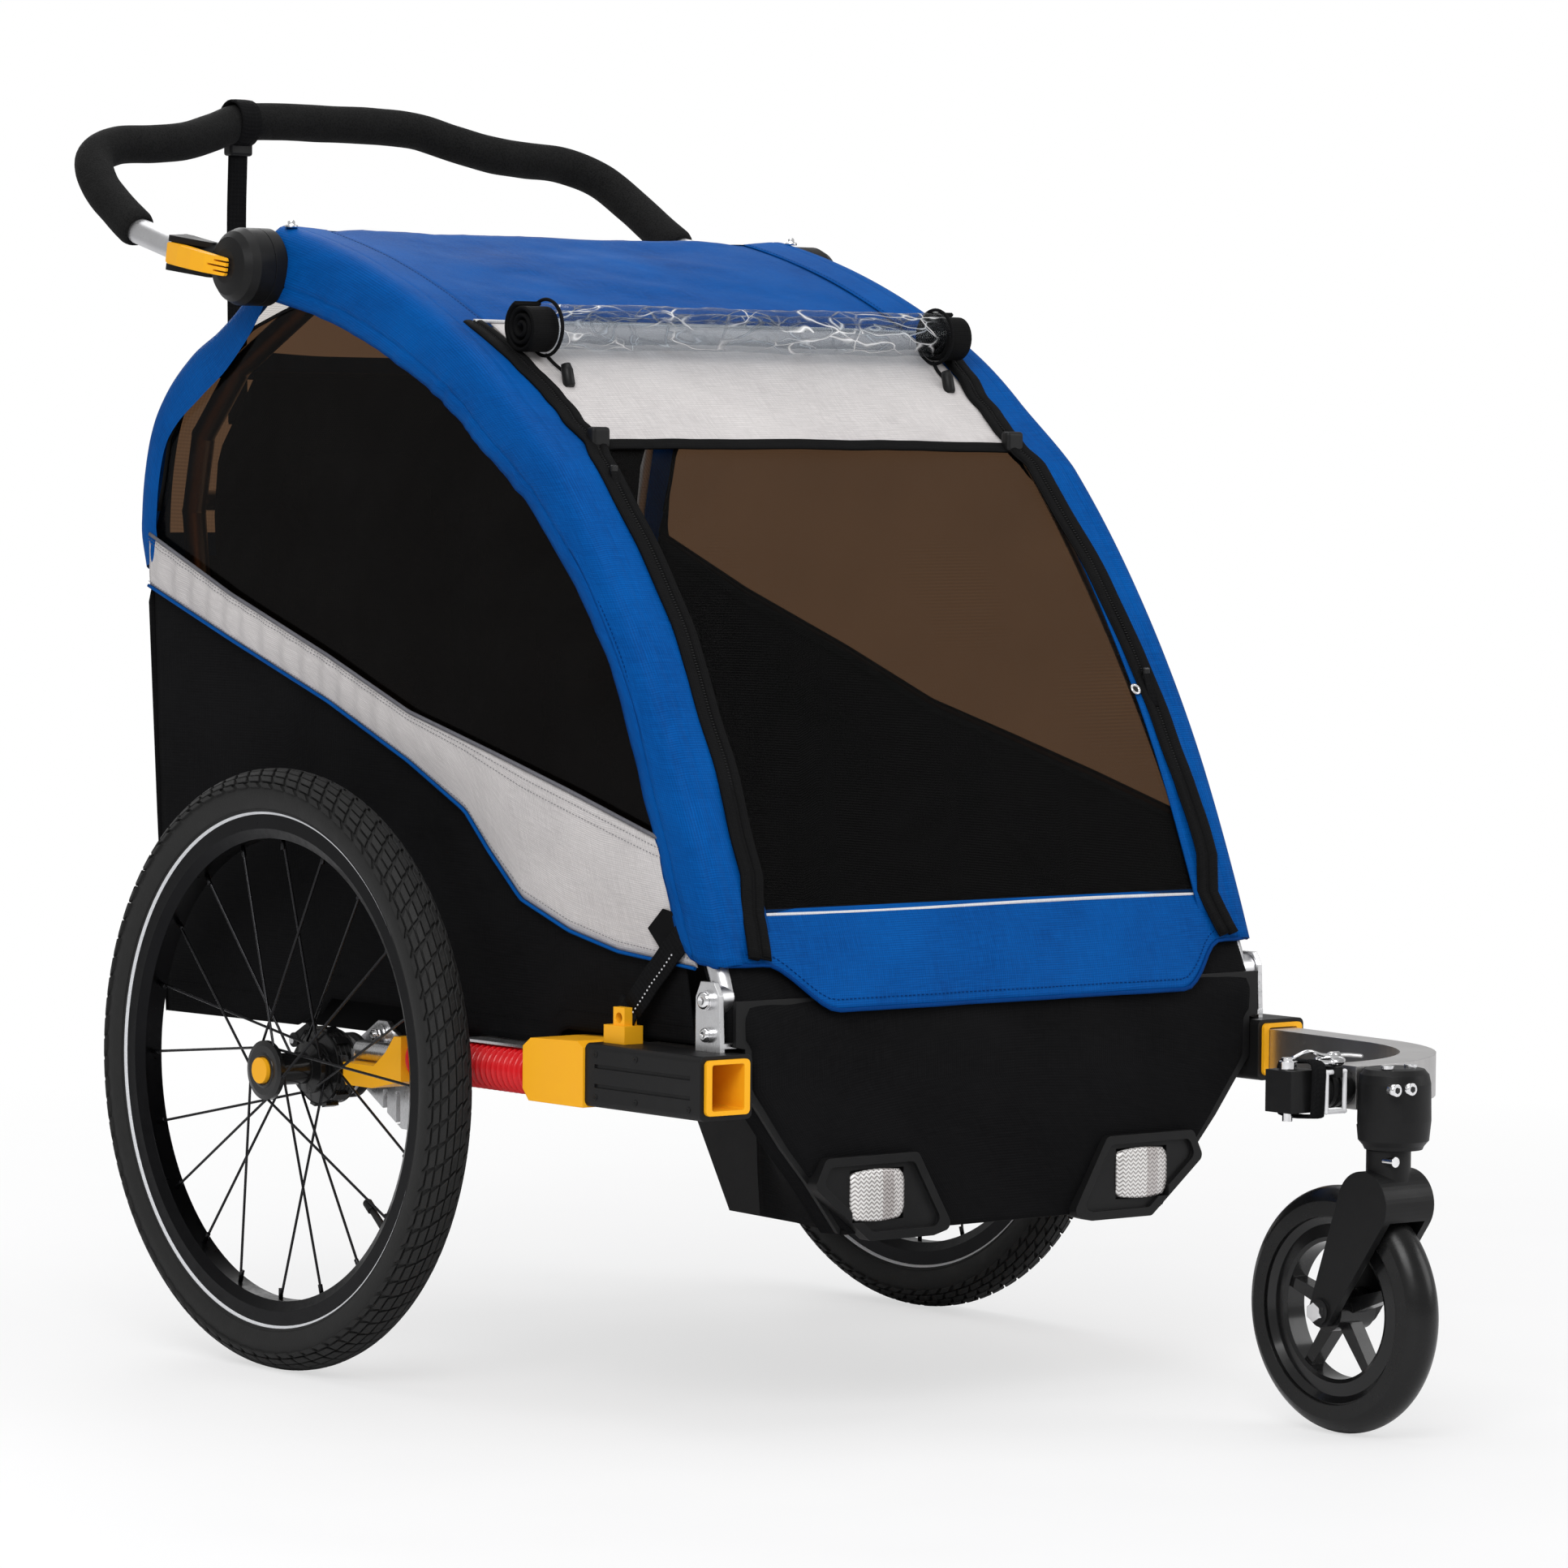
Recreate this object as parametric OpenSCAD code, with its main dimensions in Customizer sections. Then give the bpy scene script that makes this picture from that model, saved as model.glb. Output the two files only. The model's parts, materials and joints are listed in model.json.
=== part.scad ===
// Two-seat child bicycle trailer, set up as a stroller.
// Front faces -Y, the trailer's left side is +X, up is +Z.
// Inside this file y = 0 is the main axle; place() then centres the whole on its footprint.

/* [Main wheels] */
// Radius of the inflated tyre
wheel_r = 243; // [225:1:255]
// Radius of the tyre's round section
tyre_r = 21.5; // [18:0.5:23]
// Distance from the middle of the trailer to the middle of a tyre
wheel_x = 339.5; // [338:0.5:350]
// Spokes in each wheel
spoke_count = 20; // [16:4:28]

/* [Stroller wheel] */
// Radius of the stroller wheel
caster_r = 95; // [85:1:97]
// Width of its tyre
caster_w = 32; // [28:1:34]
// Side position of the swivel
caster_x = 120; // [115:1:125]
// Distance that the wheel trails behind the swivel
caster_trail = 46; // [35:1:48]

/* [Body] */
// Half the width over the bows
bow_x = 262; // [258:1:263]
// Radius of the bow tubes
bow_r = 11; // [9:0.5:11]
// Height of the side rails' top
rail_top = 294; // [292:1:294]
// Depth and height of a side rail
rail_h = 24; // [20:1:26]
// Width of a side rail
rail_w = 20; // [16:1:20]
// Half the width of the clear front screen
screen_x = 222; // [215:1:228]

/* [Cover] */
// Thickness of the cover fabric
skin = 3; // [2:0.5:3]
// Width of the cover band beside a bow, at its foot
band_low = 44; // [38:1:50]
// Width of the cover band beside a bow, at the roof
band_high = 58; // [50:1:64]

/* [Handlebar] */
// Radius of the foam grip
grip_r = 16.5; // [14:0.5:17]
// Radius of the bare tube
bar_r = 11; // [9:0.5:12]

/* [Hidden] */
$fn = 48;

fit = 0.05;        // radial clearance of pins and shafts in their bores
side_gap = 0.5;    // clearance between pieces that pass each other

// Main axle and hub
axle_z = wheel_r;
axle_r = 6;
hub_end = wheel_x + 18.5;
hub_in = wheel_x - 56;
flange_r = 24;
drum_r = 30;
ring_r = 33;
ring_teeth = 12;
button_r = 10.5;
button_face = 362;
button_travel = 4;
rim_out_r = 207;
rim_in_r = 187;
rim_w = 26;

// Rails and housings
rail_x = 238;
rail_mid = rail_top - rail_h / 2;
rail_front = -494;
rail_back = 264;
stay_z = 277.5;          // underside of the plate that stays the side fabric over the spring
house_x0 = 262;
house_x1 = 312;
house_z0 = 242;
house_z1 = 291;
house_front = -509;
house_back = -367;
cap_back = -290;
socket_x = 287;
socket_z = 267;
liner_out = 42;
liner_in_w = 31;
liner_in_h = 35;
liner_depth = 108;

// Bow hinge and rear hinge, as [y, z]
hinge_a = [-478, 330];
hinge_b = [252, 318];
hinge_r = 5;
eye_r = 12;
bracket_in = bow_x - 20;
bracket_out = bow_x + 19;

// The bow's outer line: foot, heading there and arcs of [radius, turn]
bow_foot = [-493, 334];
bow_heading = 68;
bow_arcs = [[1540, 17], [450, 22.5], [850, 17.2]];
tube_off = -skin - 0.5 - bow_r;
roof_front = 2.05;       // where the roof ends, counted in arcs from the foot
shade_end = 1.14;        // where the sun shade ends
roof_hub = [118, 893];   // handlebar pivot, as [y, z]
hub_face = bow_x + 27;   // where the turning half of a pivot meets the fixed half
hub_r = 32;
hub_stub = [8, 14];      // how far the stub on the bow lies forward of and below the pivot
stub_r = 9;

// Suspension
spring_r = 18;
spring_z = 259;
spring_rear = -118;
seat_rear = -38;
ribs = 24;
arm_pivot = [-308, spring_z];   // each arm turns on a pin inside its spring cap
pivot_r = 5;
arm_x = 252;
arm_t = 5;
arm_rod_r = 8;
disc_x = 276.5;
disc_r = 25;

// Parking brake
rear_tube_y = 252;
pedal_pivot = [284, 288];
pedal_x0 = -60;
pedal_x1 = -20;
pedal_pin_r = 4;
pawl_pivot = [37.4, axle_z + 19.1];
pawl_pin_r = 3;
pawl_lean = 149.5;   // direction of the unlocked pawl from its pivot, from +Y towards +Z

// Rear posts, as [y, z] from the hinge up
post_x = 236;
post_r = 10;
post_line = [hinge_b, [272, 600], [284, 690], [270, 755], [216, 812], [112, 866]];

// Tow arm: a rectangular tube that turns across the nose
arm_w = 28;
arm_h = 33;
tow_lean = 6;
tow_bend_r = 150;
tow_lean_len = 124;
tow_end_x = 107;

// Its centre line: a slight bend, a straight lean, then the quarter turn
tow_first_r = 150;
tow_c1 = [socket_x - tow_first_r, house_front + 15];
tow_p1 = tow_c1 + tow_first_r * [cos(tow_lean), -sin(tow_lean)];
tow_p2 = tow_p1 + tow_lean_len * [-sin(tow_lean), -cos(tow_lean)];
tow_c2 = tow_p2 - tow_bend_r * [cos(tow_lean), -sin(tow_lean)];
tow_end_y = tow_c2[1] - tow_bend_r;
pin_x = 49;
ring_out = 18;
ring_z1 = 281;
ring_wire = 1.8;

// Stroller wheel
swivel_y = -804;
caster_y = swivel_y + caster_trail;
stem_r = 8;
clamp_z0 = 222;
clamp_z1 = 284;

// Handlebar grip, right half, as [x, y, z] from the bare tube to the middle
grip_half = [
    [-290, 288, 926], [-289, 318, 943], [-286, 354, 966], [-272, 385, 990],
    [-240, 400, 1003], [-200, 402, 1006], [-165, 406, 1010], [-130, 416, 1019],
    [-95, 426, 1029], [-50, 431, 1032], [0, 432, 1032]
];

// Ends of the whole trailer along Y, for centring it
front_y = caster_y - caster_r;
back_y = 432 + grip_r;
shift_y = -(front_y + back_y) / 2;

// ---------- helpers ----------

// Puts a piece from the axle's frame into the trailer's own frame
module place() { translate([0, shift_y, 0]) children(); }

// A piece of the left side (s = 1) or its mirror image on the right side (s = -1)
module on_side(s) { if (s > 0) children(); else mirror([1, 0, 0]) children(); }

// Both sides at once
module both() { children(); mirror([1, 0, 0]) children(); }

// A cylinder along X from x0 to x1 about [y, z]
module along_x(x0, x1, c, r) {
    translate([x0, c[0], c[1]]) rotate([0, 90, 0]) cylinder(h = x1 - x0, r = r);
}

// A cylinder along Y from y0 to y1 about [x, z]
module along_y(y0, y1, c, r) {
    translate([c[0], y0, c[1]]) rotate([-90, 0, 0]) cylinder(h = y1 - y0, r = r);
}

// A body of revolution about the X axis through [y, z]; the 2-D profile is [x, radius]
module turned_x(c) {
    translate([0, c[0], c[1]]) rotate([90, 0, 90]) rotate_extrude($fn = 96)
        rotate([0, 0, 90]) mirror([0, 1, 0]) children();
}

// A plate from x0 to x1 whose outline is a list of [y, z]
module plate_x(x0, x1, pts) {
    translate([x0, 0, 0]) rotate([90, 0, 90]) linear_extrude(x1 - x0) polygon(pts);
}

// A plate from y0 to y1 whose outline is a list of [x, z]
module plate_y(y0, y1, pts) {
    translate([0, y1, 0]) rotate([90, 0, 0]) linear_extrude(y1 - y0) polygon(pts);
}

// A box between two corners
module block(a, b) { translate(a) cube(b - a); }

// Bar along Y, centred on c in X and Z, w wide and h high with rounded edges
module rounded_bar(y0, y1, c, w, h, r) {
    translate([c[0], y1, c[1]]) rotate([90, 0, 0]) linear_extrude(y1 - y0) offset(r)
        square([w - 2 * r, h - 2 * r], center = true);
}

// A round rod between two points
module rod(p, q, r) {
    d = q - p;
    translate(p) rotate([0, acos(d[2] / norm(d)), atan2(d[1], d[0])])
        cylinder(h = norm(d), r = r);
}

// A tube of round elbows and straight lengths through a list of points
module bent_tube(pts, r) {
    for (i = [0 : len(pts) - 2]) rod(pts[i], pts[i + 1], r);
    for (i = [1 : len(pts) - 2]) translate(pts[i]) sphere(r = r + 0.3);
}

// A smooth curve through points, by Catmull-Rom
function curve(p, n) = [
    for (i = [0 : len(p) - 2], k = [0 : n - 1])
        let (t = k / n, a = p[max(i - 1, 0)], b = p[i], c = p[i + 1],
             d = p[min(i + 2, len(p) - 1)])
        0.5 * (2 * b + (c - a) * t + (2 * a - 5 * b + 4 * c - d) * t * t
            + (3 * b - a - 3 * c + d) * t * t * t),
    p[len(p) - 1]
];

// A flexible tube swept along a curve that mostly runs along X or in the YZ plane
module swept(pts, r, sides) {
    last = len(pts) - 1;
    dirs = [for (i = [0 : last])
        let (d = pts[min(i + 1, last)] - pts[max(i - 1, 0)]) d / norm(d)];
    rings = [for (i = [0 : last], k = [0 : sides - 1])
        let (side = cross(dirs[i], [0, -0.5, 1]), u = side / norm(side),
             v = cross(dirs[i], u), a = 360 * k / sides)
        pts[i] + r * (u * cos(a) + v * sin(a))];
    walls = [for (i = [0 : last - 1], k = [0 : sides - 1])
        let (m = (k + 1) % sides)
        [i * sides + k, i * sides + m, (i + 1) * sides + m, (i + 1) * sides + k]];
    ends = [[for (k = [sides - 1 : -1 : 0]) k], [for (k = [0 : sides - 1]) last * sides + k]];
    polyhedron(rings, concat(walls, ends));
}

// ---------- the bow's line ----------

function arc_end(p, h, r, a) = p + r * [sin(h) - sin(h - a), cos(h - a) - cos(h)];

// Start point and heading of arc i
function bow_state(i) = i == 0 ? [bow_foot, bow_heading] :
    let (s = bow_state(i - 1), a = bow_arcs[i - 1])
    [arc_end(s[0], s[1], a[0], a[1]), s[1] - a[1]];

// Point at t, where the whole part of t counts arcs, at a distance off outside the line
function bow_at(t, off) =
    let (i = min(floor(t), 2), s = bow_state(i), r = bow_arcs[i][0],
         h = s[1] - (t - i) * bow_arcs[i][1],
         c = s[0] + r * [sin(s[1]), -cos(s[1])])
    c + (r + off) * [-sin(h), cos(h)];

// Points from t0 to t1 at that distance
function bow_run(t0, t1, off, n = 18) = [for (k = [0 : n]) bow_at(t0 + (t1 - t0) * k / n, off)];

// A strip between two distances
function bow_strip(t0, t1, off0, off1, n = 18) =
    concat(bow_run(t0, t1, off0, n), bow_run(t1, t0, off1, n));

function band(t) = band_low + (band_high - band_low) * pow(t / 3, 3);

// ---------- lower frame ----------

module side_rails() {
    color("silver") both() difference() {
        block([rail_x - rail_w / 2, rail_front, rail_top - rail_h],
            [rail_x + rail_w / 2, rail_back, rail_top]);
        block([rail_x - rail_w / 2 + 2, rail_front - 1, rail_top - rail_h + 2],
            [rail_x + rail_w / 2 - 2, rail_back + 1, rail_top - 2]);
    }
}

module cross_tubes() {
    inner = rail_x - rail_w / 2;
    color("silver") {
        along_x(-inner, inner, [-474, rail_mid], 10);
        along_x(-inner, inner, [-8, rail_mid - 9], 10);
        along_x(-inner, inner, [rear_tube_y, rail_mid], 10);
        difference() {
            union() for (x = [pedal_x0 - 4, pedal_x1 + side_gap])
                plate_x(x, x + 3.5, [[rear_tube_y, 274], [284, 274], [293, 281], [293, 293],
                    [288, 297], [280, 297], [275, 292], [275, 279], [rear_tube_y, 279]]);
            along_x(pedal_x0 - 5, pedal_x1 + 5, pedal_pivot, pedal_pin_r);
        }
        along_x(pedal_x0 - 4, pedal_x1 + 4, pedal_pivot, pedal_pin_r);
    }
}

// Black boxes on the rails: spring mount behind, arm socket in front
module socket_housings() {
    mid = [(house_x0 + house_x1) / 2, (house_z0 + house_z1) / 2];
    color("dimgray") both() difference() {
        union() {
            rounded_bar(house_front, house_back, mid, house_x1 - house_x0, house_z1 - house_z0, 5);
            block([rail_x + rail_w / 2, -463, 272], [house_x0, -380, 290]);
        }
        rounded_bar(house_front - 1, house_front + liner_depth, [socket_x, socket_z], liner_out,
            liner_out, 4);
        for (z = [house_z0 + 17, house_z1 - 17]) block([house_x1 - 1.5, house_front + 12, z - 1.5],
            [house_x1 + 1, house_back - 12, z + 1.5]);
    }
}

// Ribbed sleeves that hold the tow arm
module socket_liners() {
    h2 = liner_in_h / 2;
    c = [socket_x, socket_z];
    color("orange") both() difference() {
        rounded_bar(house_front - 3, house_front + liner_depth, c, liner_out, liner_out, 4);
        rounded_bar(house_front - 4, house_front + liner_depth - 3, c, liner_in_w, liner_in_h, 2);
        for (k = [-2 : 2]) block([socket_x + 6 * k - 1, house_front + 6, socket_z + h2 - 1],
            [socket_x + 6 * k + 1, house_front + liner_depth - 3, socket_z + h2 + 1.5]);
    }
}

module spring_caps() {
    color("orange") both() difference() {
        plate_x(house_x0 - 1, house_x1 + 2, [
            [house_back, house_z0 - 1], [house_back, house_z1 - 4], [house_back + 8, house_z1 + 1],
            [cap_back - 10, house_z1 - 1], [cap_back, house_z1 - 8], [cap_back, house_z0 + 8],
            [cap_back - 8, house_z0 - 1]
        ]);
        along_y(cap_back - 36, cap_back + 1, [socket_x, spring_z], 12);
    }
    color("silver") both() along_x(house_x0 + 1, house_x1, arm_pivot, pivot_r);
}

// Silver brackets: the bow hinge in front and the rear hinge behind
module hinge_brackets() {
    front = [[-494, rail_top - 6], [-464, rail_top - 6], [-464, 332], [-470, 344], [-486, 344],
        [-492, 334]];
    rear = [[236, rail_top - 12], [rail_back, rail_top - 12], [rail_back, 322], [258, 332],
        [246, 332], [236, 322]];
    color("lightgray") both() {
        difference() {
            union() {
                plate_x(bracket_out - 4.5, bracket_out, [for (p = front) [p[0], max(p[1], house_z1)]]);
                plate_x(rail_x + rail_w / 2, rail_x + rail_w / 2 + 3.5, [for (p = front)
                    [p[0], min(p[1], rail_top + 4)]]);
                plate_x(bracket_in, bracket_in + 5, [for (p = front) [p[0], max(p[1], rail_top)]]);
                block([bracket_in, -494, rail_top], [bracket_out, -464, rail_top + 4]);
            }
            along_x(bracket_in - 1, bracket_out + 1, hinge_a, hinge_r + fit);
        }
        difference() {
            plate_x(rail_x + rail_w / 2, rail_x + rail_w / 2 + 3.5, rear);
            along_x(rail_x, rail_x + 20, hinge_b, hinge_r + fit);
        }
        block([rail_x + rail_w / 2, -262, stay_z], [292, -178, stay_z + 2.2]);
    }
}

// Hinge bolts and the screws that hold brackets and clamp
module frame_screws() {
    color("silver") {
        both() {
            along_x(bracket_in, bracket_out, hinge_a, hinge_r);
            along_x(bracket_out, bracket_out + 3, hinge_a, 8);
            along_x(bracket_out, bracket_out + 3, [-480, 304], 6);
            along_x(post_x - 14, rail_x + rail_w / 2 + 3.5, hinge_b, hinge_r);
            along_x(post_x - 17, post_x - 14, hinge_b, 8);
            along_x(rail_x + rail_w / 2 + 3.5, rail_x + rail_w / 2 + 5, hinge_b, 8);
            translate([262, -205, stay_z - 3.5]) cylinder(h = 3.5, r = 6, $fn = 6);
        }
        for (x = [-12, 12]) translate([caster_x + x, swivel_y - 10, clamp_z1])
            cylinder(h = 2.5, r = 5);
    }
}

// Hooks on the housings that hold the cover down
module cover_hooks() {
    color("orange") both() difference() {
        union() {
            block([280, -398, house_z1], [298, -372, house_z1 + 14]);
            block([283, -394, house_z1 + 13], [295, -380, house_z1 + 28]);
        }
        along_x(270, 300, [-387, house_z1 + 20], 4);
    }
}

module hold_down_straps() {
    color("black") both() translate([281, -390, house_z1 + 30]) rotate([41, 0, 0])
        block([0, -2, 0], [16, 2, 62]);
}

// ---------- tub: floor, foot well and nose ----------

tub_profile = [[-499.5, 147], [-352, 150], [-292, 268], [-205, 285], [238, 285], [238, 303],
    [-499.5, 303]];
tub_cavity = [[-495.5, 151], [-354.5, 154], [-294.7, 271.5], [-206, 289], [234, 289], [234, 310],
    [-495.5, 310]];

function trough(w, w0) = [[-w, 320], [w, 320], [w, 284], [w0, 240], [w0 - 8, 140], [8 - w0, 140],
    [-w0, 240], [-w, 284]];

module tub() {
    nose = [[168, 147], [200, 188], [225, 216], [249, 247], [261, 262], [261, 293.5], [270, 295],
        [270, 330]];
    color("dimgray") difference() {
        union() {
            intersection() {
                plate_x(-224, 224, tub_profile);
                plate_y(-499.5, 238, trough(224, 164));
            }
            plate_y(-499.5, -495.5, concat(nose, [for (i = [len(nose) - 1 : -1 : 0])
                [-nose[i][0], nose[i][1]]]));
        }
        intersection() {
            plate_x(-220, 220, tub_cavity);
            plate_y(-495.5, 234, trough(220, 160));
        }
        along_x(-230, 230, [-474, rail_mid], 10);
    }
}

guard_y = -508;

// Outline of a corner guard, drawn in by a distance
module guard_outline(inset) {
    offset(6) offset(-6 - inset) polygon([[62, 146], [82, 141], [146, 141], [201, 185], [190, 207],
        [98, 207]]);
}

// Moulded guards on the nose's lower corners, each with a raised rim round its lens
module corner_guards() {
    color("dimgray") both() difference() {
        union() {
            translate([0, -499.5, 0]) rotate([90, 0, 0]) linear_extrude(-499.5 - guard_y) guard_outline(0);
            translate([0, guard_y + 1, 0]) rotate([90, 0, 0]) linear_extrude(4.5) difference() {
                guard_outline(0);
                guard_outline(7);
            }
        }
        block([110, guard_y - 4, 156], [164, guard_y + 3.5, 196]);
    }
}

module reflectors() {
    color("lightgray") both() block([110.5, guard_y - 1, 156.5], [163.5, guard_y + 3.5, 195.5]);
}

// ---------- tow arm and hitch ----------

// The tow arm's side line at a distance to its right, from the socket to the hitch
function arm_line(off) = concat(
    [[socket_x - off, house_front + 90]],
    [for (k = [0 : 2]) let (a = tow_lean * k / 2)
        tow_c1 + (tow_first_r - off) * [cos(a), -sin(a)]],
    [for (k = [0 : 16]) let (a = tow_lean + (90 - tow_lean) * k / 16)
        tow_c2 + (tow_bend_r - off) * [cos(a), -sin(a)]],
    [[tow_end_x, tow_end_y + off]]
);

module tow_arm() {
    inner = arm_line(arm_w / 2);
    color("darkgray") translate([0, 0, socket_z - arm_h / 2]) linear_extrude(arm_h)
        polygon(concat(arm_line(-arm_w / 2),
            [for (i = [len(inner) - 1 : -1 : 0]) inner[i]]));
}

module hitch_connector() {
    c = [tow_end_y, socket_z];
    x0 = tow_end_x - 41;
    color("dimgray") {
        along_x(x0, tow_end_x, c, 14);
        for (k = [0 : 3]) along_x(x0 + 9 + 8 * k, x0 + 13 + 8 * k, c, 15.5);
        difference() {
            block([pin_x - 10, tow_end_y - 14, 251], [x0 + 0.5, tow_end_y + 14, 283]);
            translate([pin_x, tow_end_y, 240]) cylinder(h = 50, r = 4 + fit);
        }
        difference() {
            block([78, tow_end_y - ring_out - 4, ring_z1 - 4], [85, tow_end_y - 8, ring_z1 + 4]);
            along_x(77, 86, [tow_end_y - ring_out, ring_z1], ring_wire + fit);
        }
    }
}

module hitch_strap() {
    color("black") difference() {
        block([57, tow_end_y - 17, 247], [69, tow_end_y + 17, 287]);
        block([56, tow_end_y - 14.5, 249.5], [70, tow_end_y + 14.5, 284.5]);
    }
}

// Wire ring that hangs in front of the connector
module hitch_ring() {
    y = tow_end_y - ring_out;
    c = [[72, y, 251], [91, y, 251], [91, y, ring_z1], [72, y, ring_z1]];
    color("white") for (i = [0 : 3]) {
        rod(c[i], c[(i + 1) % 4], ring_wire);
        translate(c[i]) sphere(r = ring_wire + 0.2);
    }
}

module hitch_pin() {
    color("silver") translate([pin_x, tow_end_y, 0]) {
        translate([0, 0, 244]) cylinder(h = 40, r = 4);
        translate([0, 0, 283.5]) cylinder(h = 6, r = 7);
        translate([0, 0, 289]) cylinder(h = 3, r = 5);
    }
}

module caster_clamp() {
    c = [caster_x + 3, swivel_y - 2];
    color("dimgray") difference() {
        translate([c[0], c[1], clamp_z0]) rotate_extrude() polygon([[0, 0], [22, 0], [23.5, 3],
            [27, 7], [28.5, 22], [28, 50], [26.5, 57], [23, 61], [18, clamp_z1 - clamp_z0],
            [0, clamp_z1 - clamp_z0]]);
        block([80, tow_end_y - arm_w / 2, clamp_z0 - 1], [160, -760, clamp_z1 + 1]);
        block([80, tow_end_y - 24, 240], [110, -760, clamp_z1 + 1]);
        translate([caster_x, swivel_y, clamp_z0 - 1]) cylinder(h = 31, r = stem_r + fit);
    }
}

// ---------- suspension and wheels ----------

module spring(s) {
    step = (spring_rear - cap_back - 1) / ribs;
    bore = arm_rod_r + 1.5;
    profile = concat([[bore, 0]],
        [for (i = [0 : ribs - 1]) each [[spring_r - 4, i * step], [spring_r, (i + 0.3) * step],
            [spring_r, (i + 0.7) * step], [spring_r - 4, (i + 1) * step]]],
        [[bore, ribs * step]]);
    color("red") on_side(s) translate([socket_x, cap_back + 0.5, spring_z]) rotate([-90, 0, 0])
        rotate_extrude() polygon(profile);
}
module spring_left() spring(1);
module spring_right() spring(-1);

// Trailing arm: a rod through the spring, a slotted plate, the brake disc and the axle
module suspension_arm(s) {
    c = [0, axle_z];
    outline = [[-36, 274], [-30, 280], [-18, 280], [8, 264], [20, 243], [8, 226], [-4, 221],
        [-51, 194], [-80, 194], [-92, 214], [-86, 250]];
    lug = [[10, 262], [34, 270], [42, 270], [46, 263], [43, 255], [20, 240]];
    plate_out = arm_x + arm_t;
    color("lightgray") on_side(s) {
        difference() {
            plate_x(arm_x, plate_out, outline);
            for (y = [-64, -46, -28]) block([arm_x - 1, y - 3, 203 - 0.3 * (y + 64)],
                [plate_out + 1, y + 3, 224]);
        }
        along_x(plate_out - 1, plate_out + 4, [-24, 269], 9);
        block([plate_out - 1, seat_rear + side_gap, 246], [socket_x + 8, seat_rear + 4.4, 260]);
        along_y(arm_pivot[0] + 6, seat_rear + 2, [socket_x, spring_z], arm_rod_r);
        difference() {
            along_x(socket_x - 5.5, socket_x + 5.5, arm_pivot, 10);
            along_x(socket_x - 6, socket_x + 6, arm_pivot, pivot_r + fit);
        }
        along_x(plate_out - 1, disc_x + 1, c, 14);
        along_x(disc_x, hub_in - side_gap, c, disc_r);
        plate_x(disc_x, hub_in - 1, lug);
        along_x(hub_in - 2, hub_in + 21, pawl_pivot, pawl_pin_r);
        along_x(hub_in - 1, hub_end - button_travel - 7, c, axle_r);
        along_x(hub_in + 26, hub_in + 34, c, axle_r + 1);
    }
}
module suspension_arm_left() suspension_arm(1);
module suspension_arm_right() suspension_arm(-1);

module spring_seat(s) {
    color("orange") on_side(s) difference() {
        plate_x(arm_x + arm_t, 306, [[seat_rear, 238], [seat_rear - 4, 232], [-78, 232],
            [spring_rear + side_gap, 240], [spring_rear + side_gap, 276], [-108, 276],
            [-96, 262], [-80, 250], [seat_rear, 250]]);
        along_y(spring_rear, seat_rear + 1, [socket_x, spring_z], arm_rod_r + fit);
    }
}
module spring_seat_left() spring_seat(1);
module spring_seat_right() spring_seat(-1);

module tyre(s) {
    color("dimgray") on_side(s) turned_x([0, axle_z]) difference() {
        translate([wheel_x, wheel_r - tyre_r]) circle(r = tyre_r);
        translate([wheel_x - rim_w / 2, 0]) square([rim_w, rim_out_r]);
        translate([wheel_x, wheel_r - tyre_r]) circle(r = tyre_r - 4);
    }
}
module tyre_left() tyre(1);
module tyre_right() tyre(-1);

module rim(s) {
    h = rim_w / 2;
    color("black") on_side(s) turned_x([0, axle_z]) polygon([for (p = [[-h, rim_out_r],
        [-h, rim_in_r + 8], [-h + 5, rim_in_r], [h - 5, rim_in_r], [h, rim_in_r + 8],
        [h, rim_out_r], [h - 3, rim_out_r], [h - 3, rim_out_r - 6], [-h + 3, rim_out_r - 6],
        [-h + 3, rim_out_r]]) [wheel_x + p[0], p[1]]]);
}
module rim_left() rim(1);
module rim_right() rim(-1);

// Crossed spokes: half run from each flange to the rim
module spokes(s) {
    color("black") on_side(s) for (i = [0 : spoke_count - 1]) {
        outer = i % 2 == 0;
        lead = i % 4 < 2 ? 1 : -1;
        x0 = (outer ? hub_end - 4 : hub_in + 29) + 2.4 * lead;
        at_rim = 360 * i / spoke_count;
        at_hub = at_rim + 62 * lead;
        p = [x0, 20 * cos(at_hub), axle_z + 20 * sin(at_hub)];
        q = [wheel_x, rim_in_r * cos(at_rim), axle_z + rim_in_r * sin(at_rim)];
        rod(p, q, 1.1, $fn = 16);
    }
}
module spokes_left() spokes(1);
module spokes_right() spokes(-1);

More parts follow.
